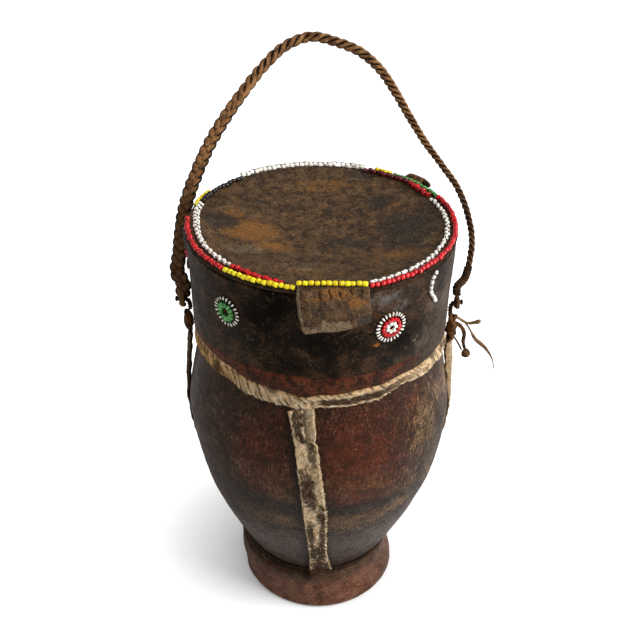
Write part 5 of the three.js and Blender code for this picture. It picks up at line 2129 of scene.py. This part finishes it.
def make_loop(side, node):
    """The plait's end wound into a ring round the lashing."""
    middle, outer = loop_sizes(node)
    low, high = node_box(node)
    wide = high[0] - low[0]
    hole = LASHING_RADIUS + 0.8
    turns, count = 2.0, 96
    turn = 2 * np.pi * turns * spread(0, 1, count) - np.pi / 2
    x = middle + (spread(0, 1, count) - 0.5) * wide * 0.5
    radius = (outer + hole) / 2
    path = np.stack([x, radius * np.cos(turn), PIVOT_HEIGHT + radius * np.sin(turn)], 1)
    out = unit(path - np.stack([x, 0 * x, 0 * x + PIVOT_HEIGHT], 1))
    half_wide = wide * 0.27 * (1 + 0.08 * ripples(path, 5, 171))
    shape = capped(sweep(path, out, ellipse(half_wide, (outer - hole) / 2, STRAND_SIDES)))
    # The loop is darkened by the same painted shade as the plait's ends.
    braid_piece(side + "_loop_leather", node, shape, same_all_over(shape, deep=0.3, smoke=0.8))


def make_binding():
    """A dark thong wound tightly round the plait's thin end."""
    first = int(HANDLE_ROWS * (1 - 3 / 64))
    core = HANDLE[first:]
    turns, count = 12, 12 * 20
    middle = resampled(core, np.arange(len(core)), count)
    along = heading(middle)
    side = unit(np.cross(ARCH_NORMAL, along))
    turn = (2 * np.pi * turns * spread(0, 1, count))[:, None]
    wide, thick = 3.5 / 2 + 0.35, 3.4 / 2 + 0.35
    path = middle + side * np.cos(turn) * wide + ARCH_NORMAL * np.sin(turn) * thick
    pitch = length_along(core)[-1] / turns
    shape = capped(sweep(path, unit(path - middle), ellipse(pitch * 0.56, 0.45, 8)))
    thong_piece("handle_binding_thong", "handle", "handle_binding", shape, 0.0, 0.5)


make_loop("left", "handle_loop_left")
make_loop("right", "handle_loop_right")
make_binding()

# %% [markdown]
# ## Floor and light
#
# The floor is a wide pale sheet with a glow that only the camera sees, so the open floor reads white. The
# glow fades within a hand's breadth of the object, where the sheet is partly hidden from the sky, so a soft
# shade shows there. The world does the same: the camera sees white, and the object is lit at a plain level.
# The key light is large and soft and stands at the right, so the right edges are brighter and the shadow
# falls to the left.

# %% Floor
FLOOR_SIZE = 40000
FLOOR_GREY = 0.8
FLOOR_LIFT = 0.82
SHADE_REACH = 85
SHADE_POWER = 2.4


def make_floor():
    """A wide sheet whose glow stays dim near the object."""
    look = Look("floor", 0.9, 0.0)
    look.put(look.shader["Emission Color"], (1, 1, 1, 1))
    nearby = look.add("AmbientOcclusion", {"Distance": SHADE_REACH * MM}, "AO", samples=8)
    lift = nearby.math("POWER", nearby, SHADE_POWER) * FLOOR_LIFT
    look.put(look.shader["Emission Strength"], look.add("LightPath", None, "Is Camera Ray") * lift)
    half = FLOOR_SIZE / 2
    corners = np.array([(-half, -half, 0), (half, -half, 0), (half, half, 0), (-half, half, 0)])
    grey = (FLOOR_GREY, FLOOR_GREY, FLOOR_GREY, 1)
    floor = new_object("floor", corners, [(0, 1, 2, 3)], [look.dress(grey)])
    return floor


floor = make_floor()
print("floor across:", FLOOR_SIZE, "mm")

# %% World and lights
WORLD_LIGHT = 0.4
KEY_POWER = 23
FILL_POWER = 2.5


def make_world():
    """Plain light for the object, and white for what the camera sees behind it."""
    world = bpy.data.worlds.new("studio")
    world.use_nodes = True
    board = Board(world.node_tree)
    background = next(node for node in world.node_tree.nodes if node.type == "BACKGROUND").inputs
    board.put(background["Color"], (1, 1, 1, 1))
    rays = board.outputs("LightPath")
    camera_ray, clear_ray = (Wire(board, rays[name]) for name in ("Is Camera Ray", "Is Transmission Ray"))
    seen = camera_ray.math("MAXIMUM", camera_ray, clear_ray)
    board.put(background["Strength"], seen * (1 - WORLD_LIGHT) + WORLD_LIGHT)
    bpy.context.scene.world = world
    return world


def area_light(name, place, aim, size, power):
    """A square lamp of size metres that faces its aim."""
    data = bpy.data.lights.new(name, "AREA")
    data.size = size
    data.energy = power
    lamp = add_to_scene(name, data)
    lamp.location = place
    lamp.rotation_euler = (Vector(aim) - Vector(place)).to_track_quat("-Z", "Y").to_euler()
    return lamp


world = make_world()
middle = (0, 0, 0.15)
key = area_light("key", (1.0, -0.35, 0.8), middle, 0.8, KEY_POWER)
fill = area_light("fill", (-0.9, -0.5, 0.5), middle, 0.9, FILL_POWER)
bpy.context.scene.view_settings.view_transform = "Standard"
print("lights:", key.name, fill.name)
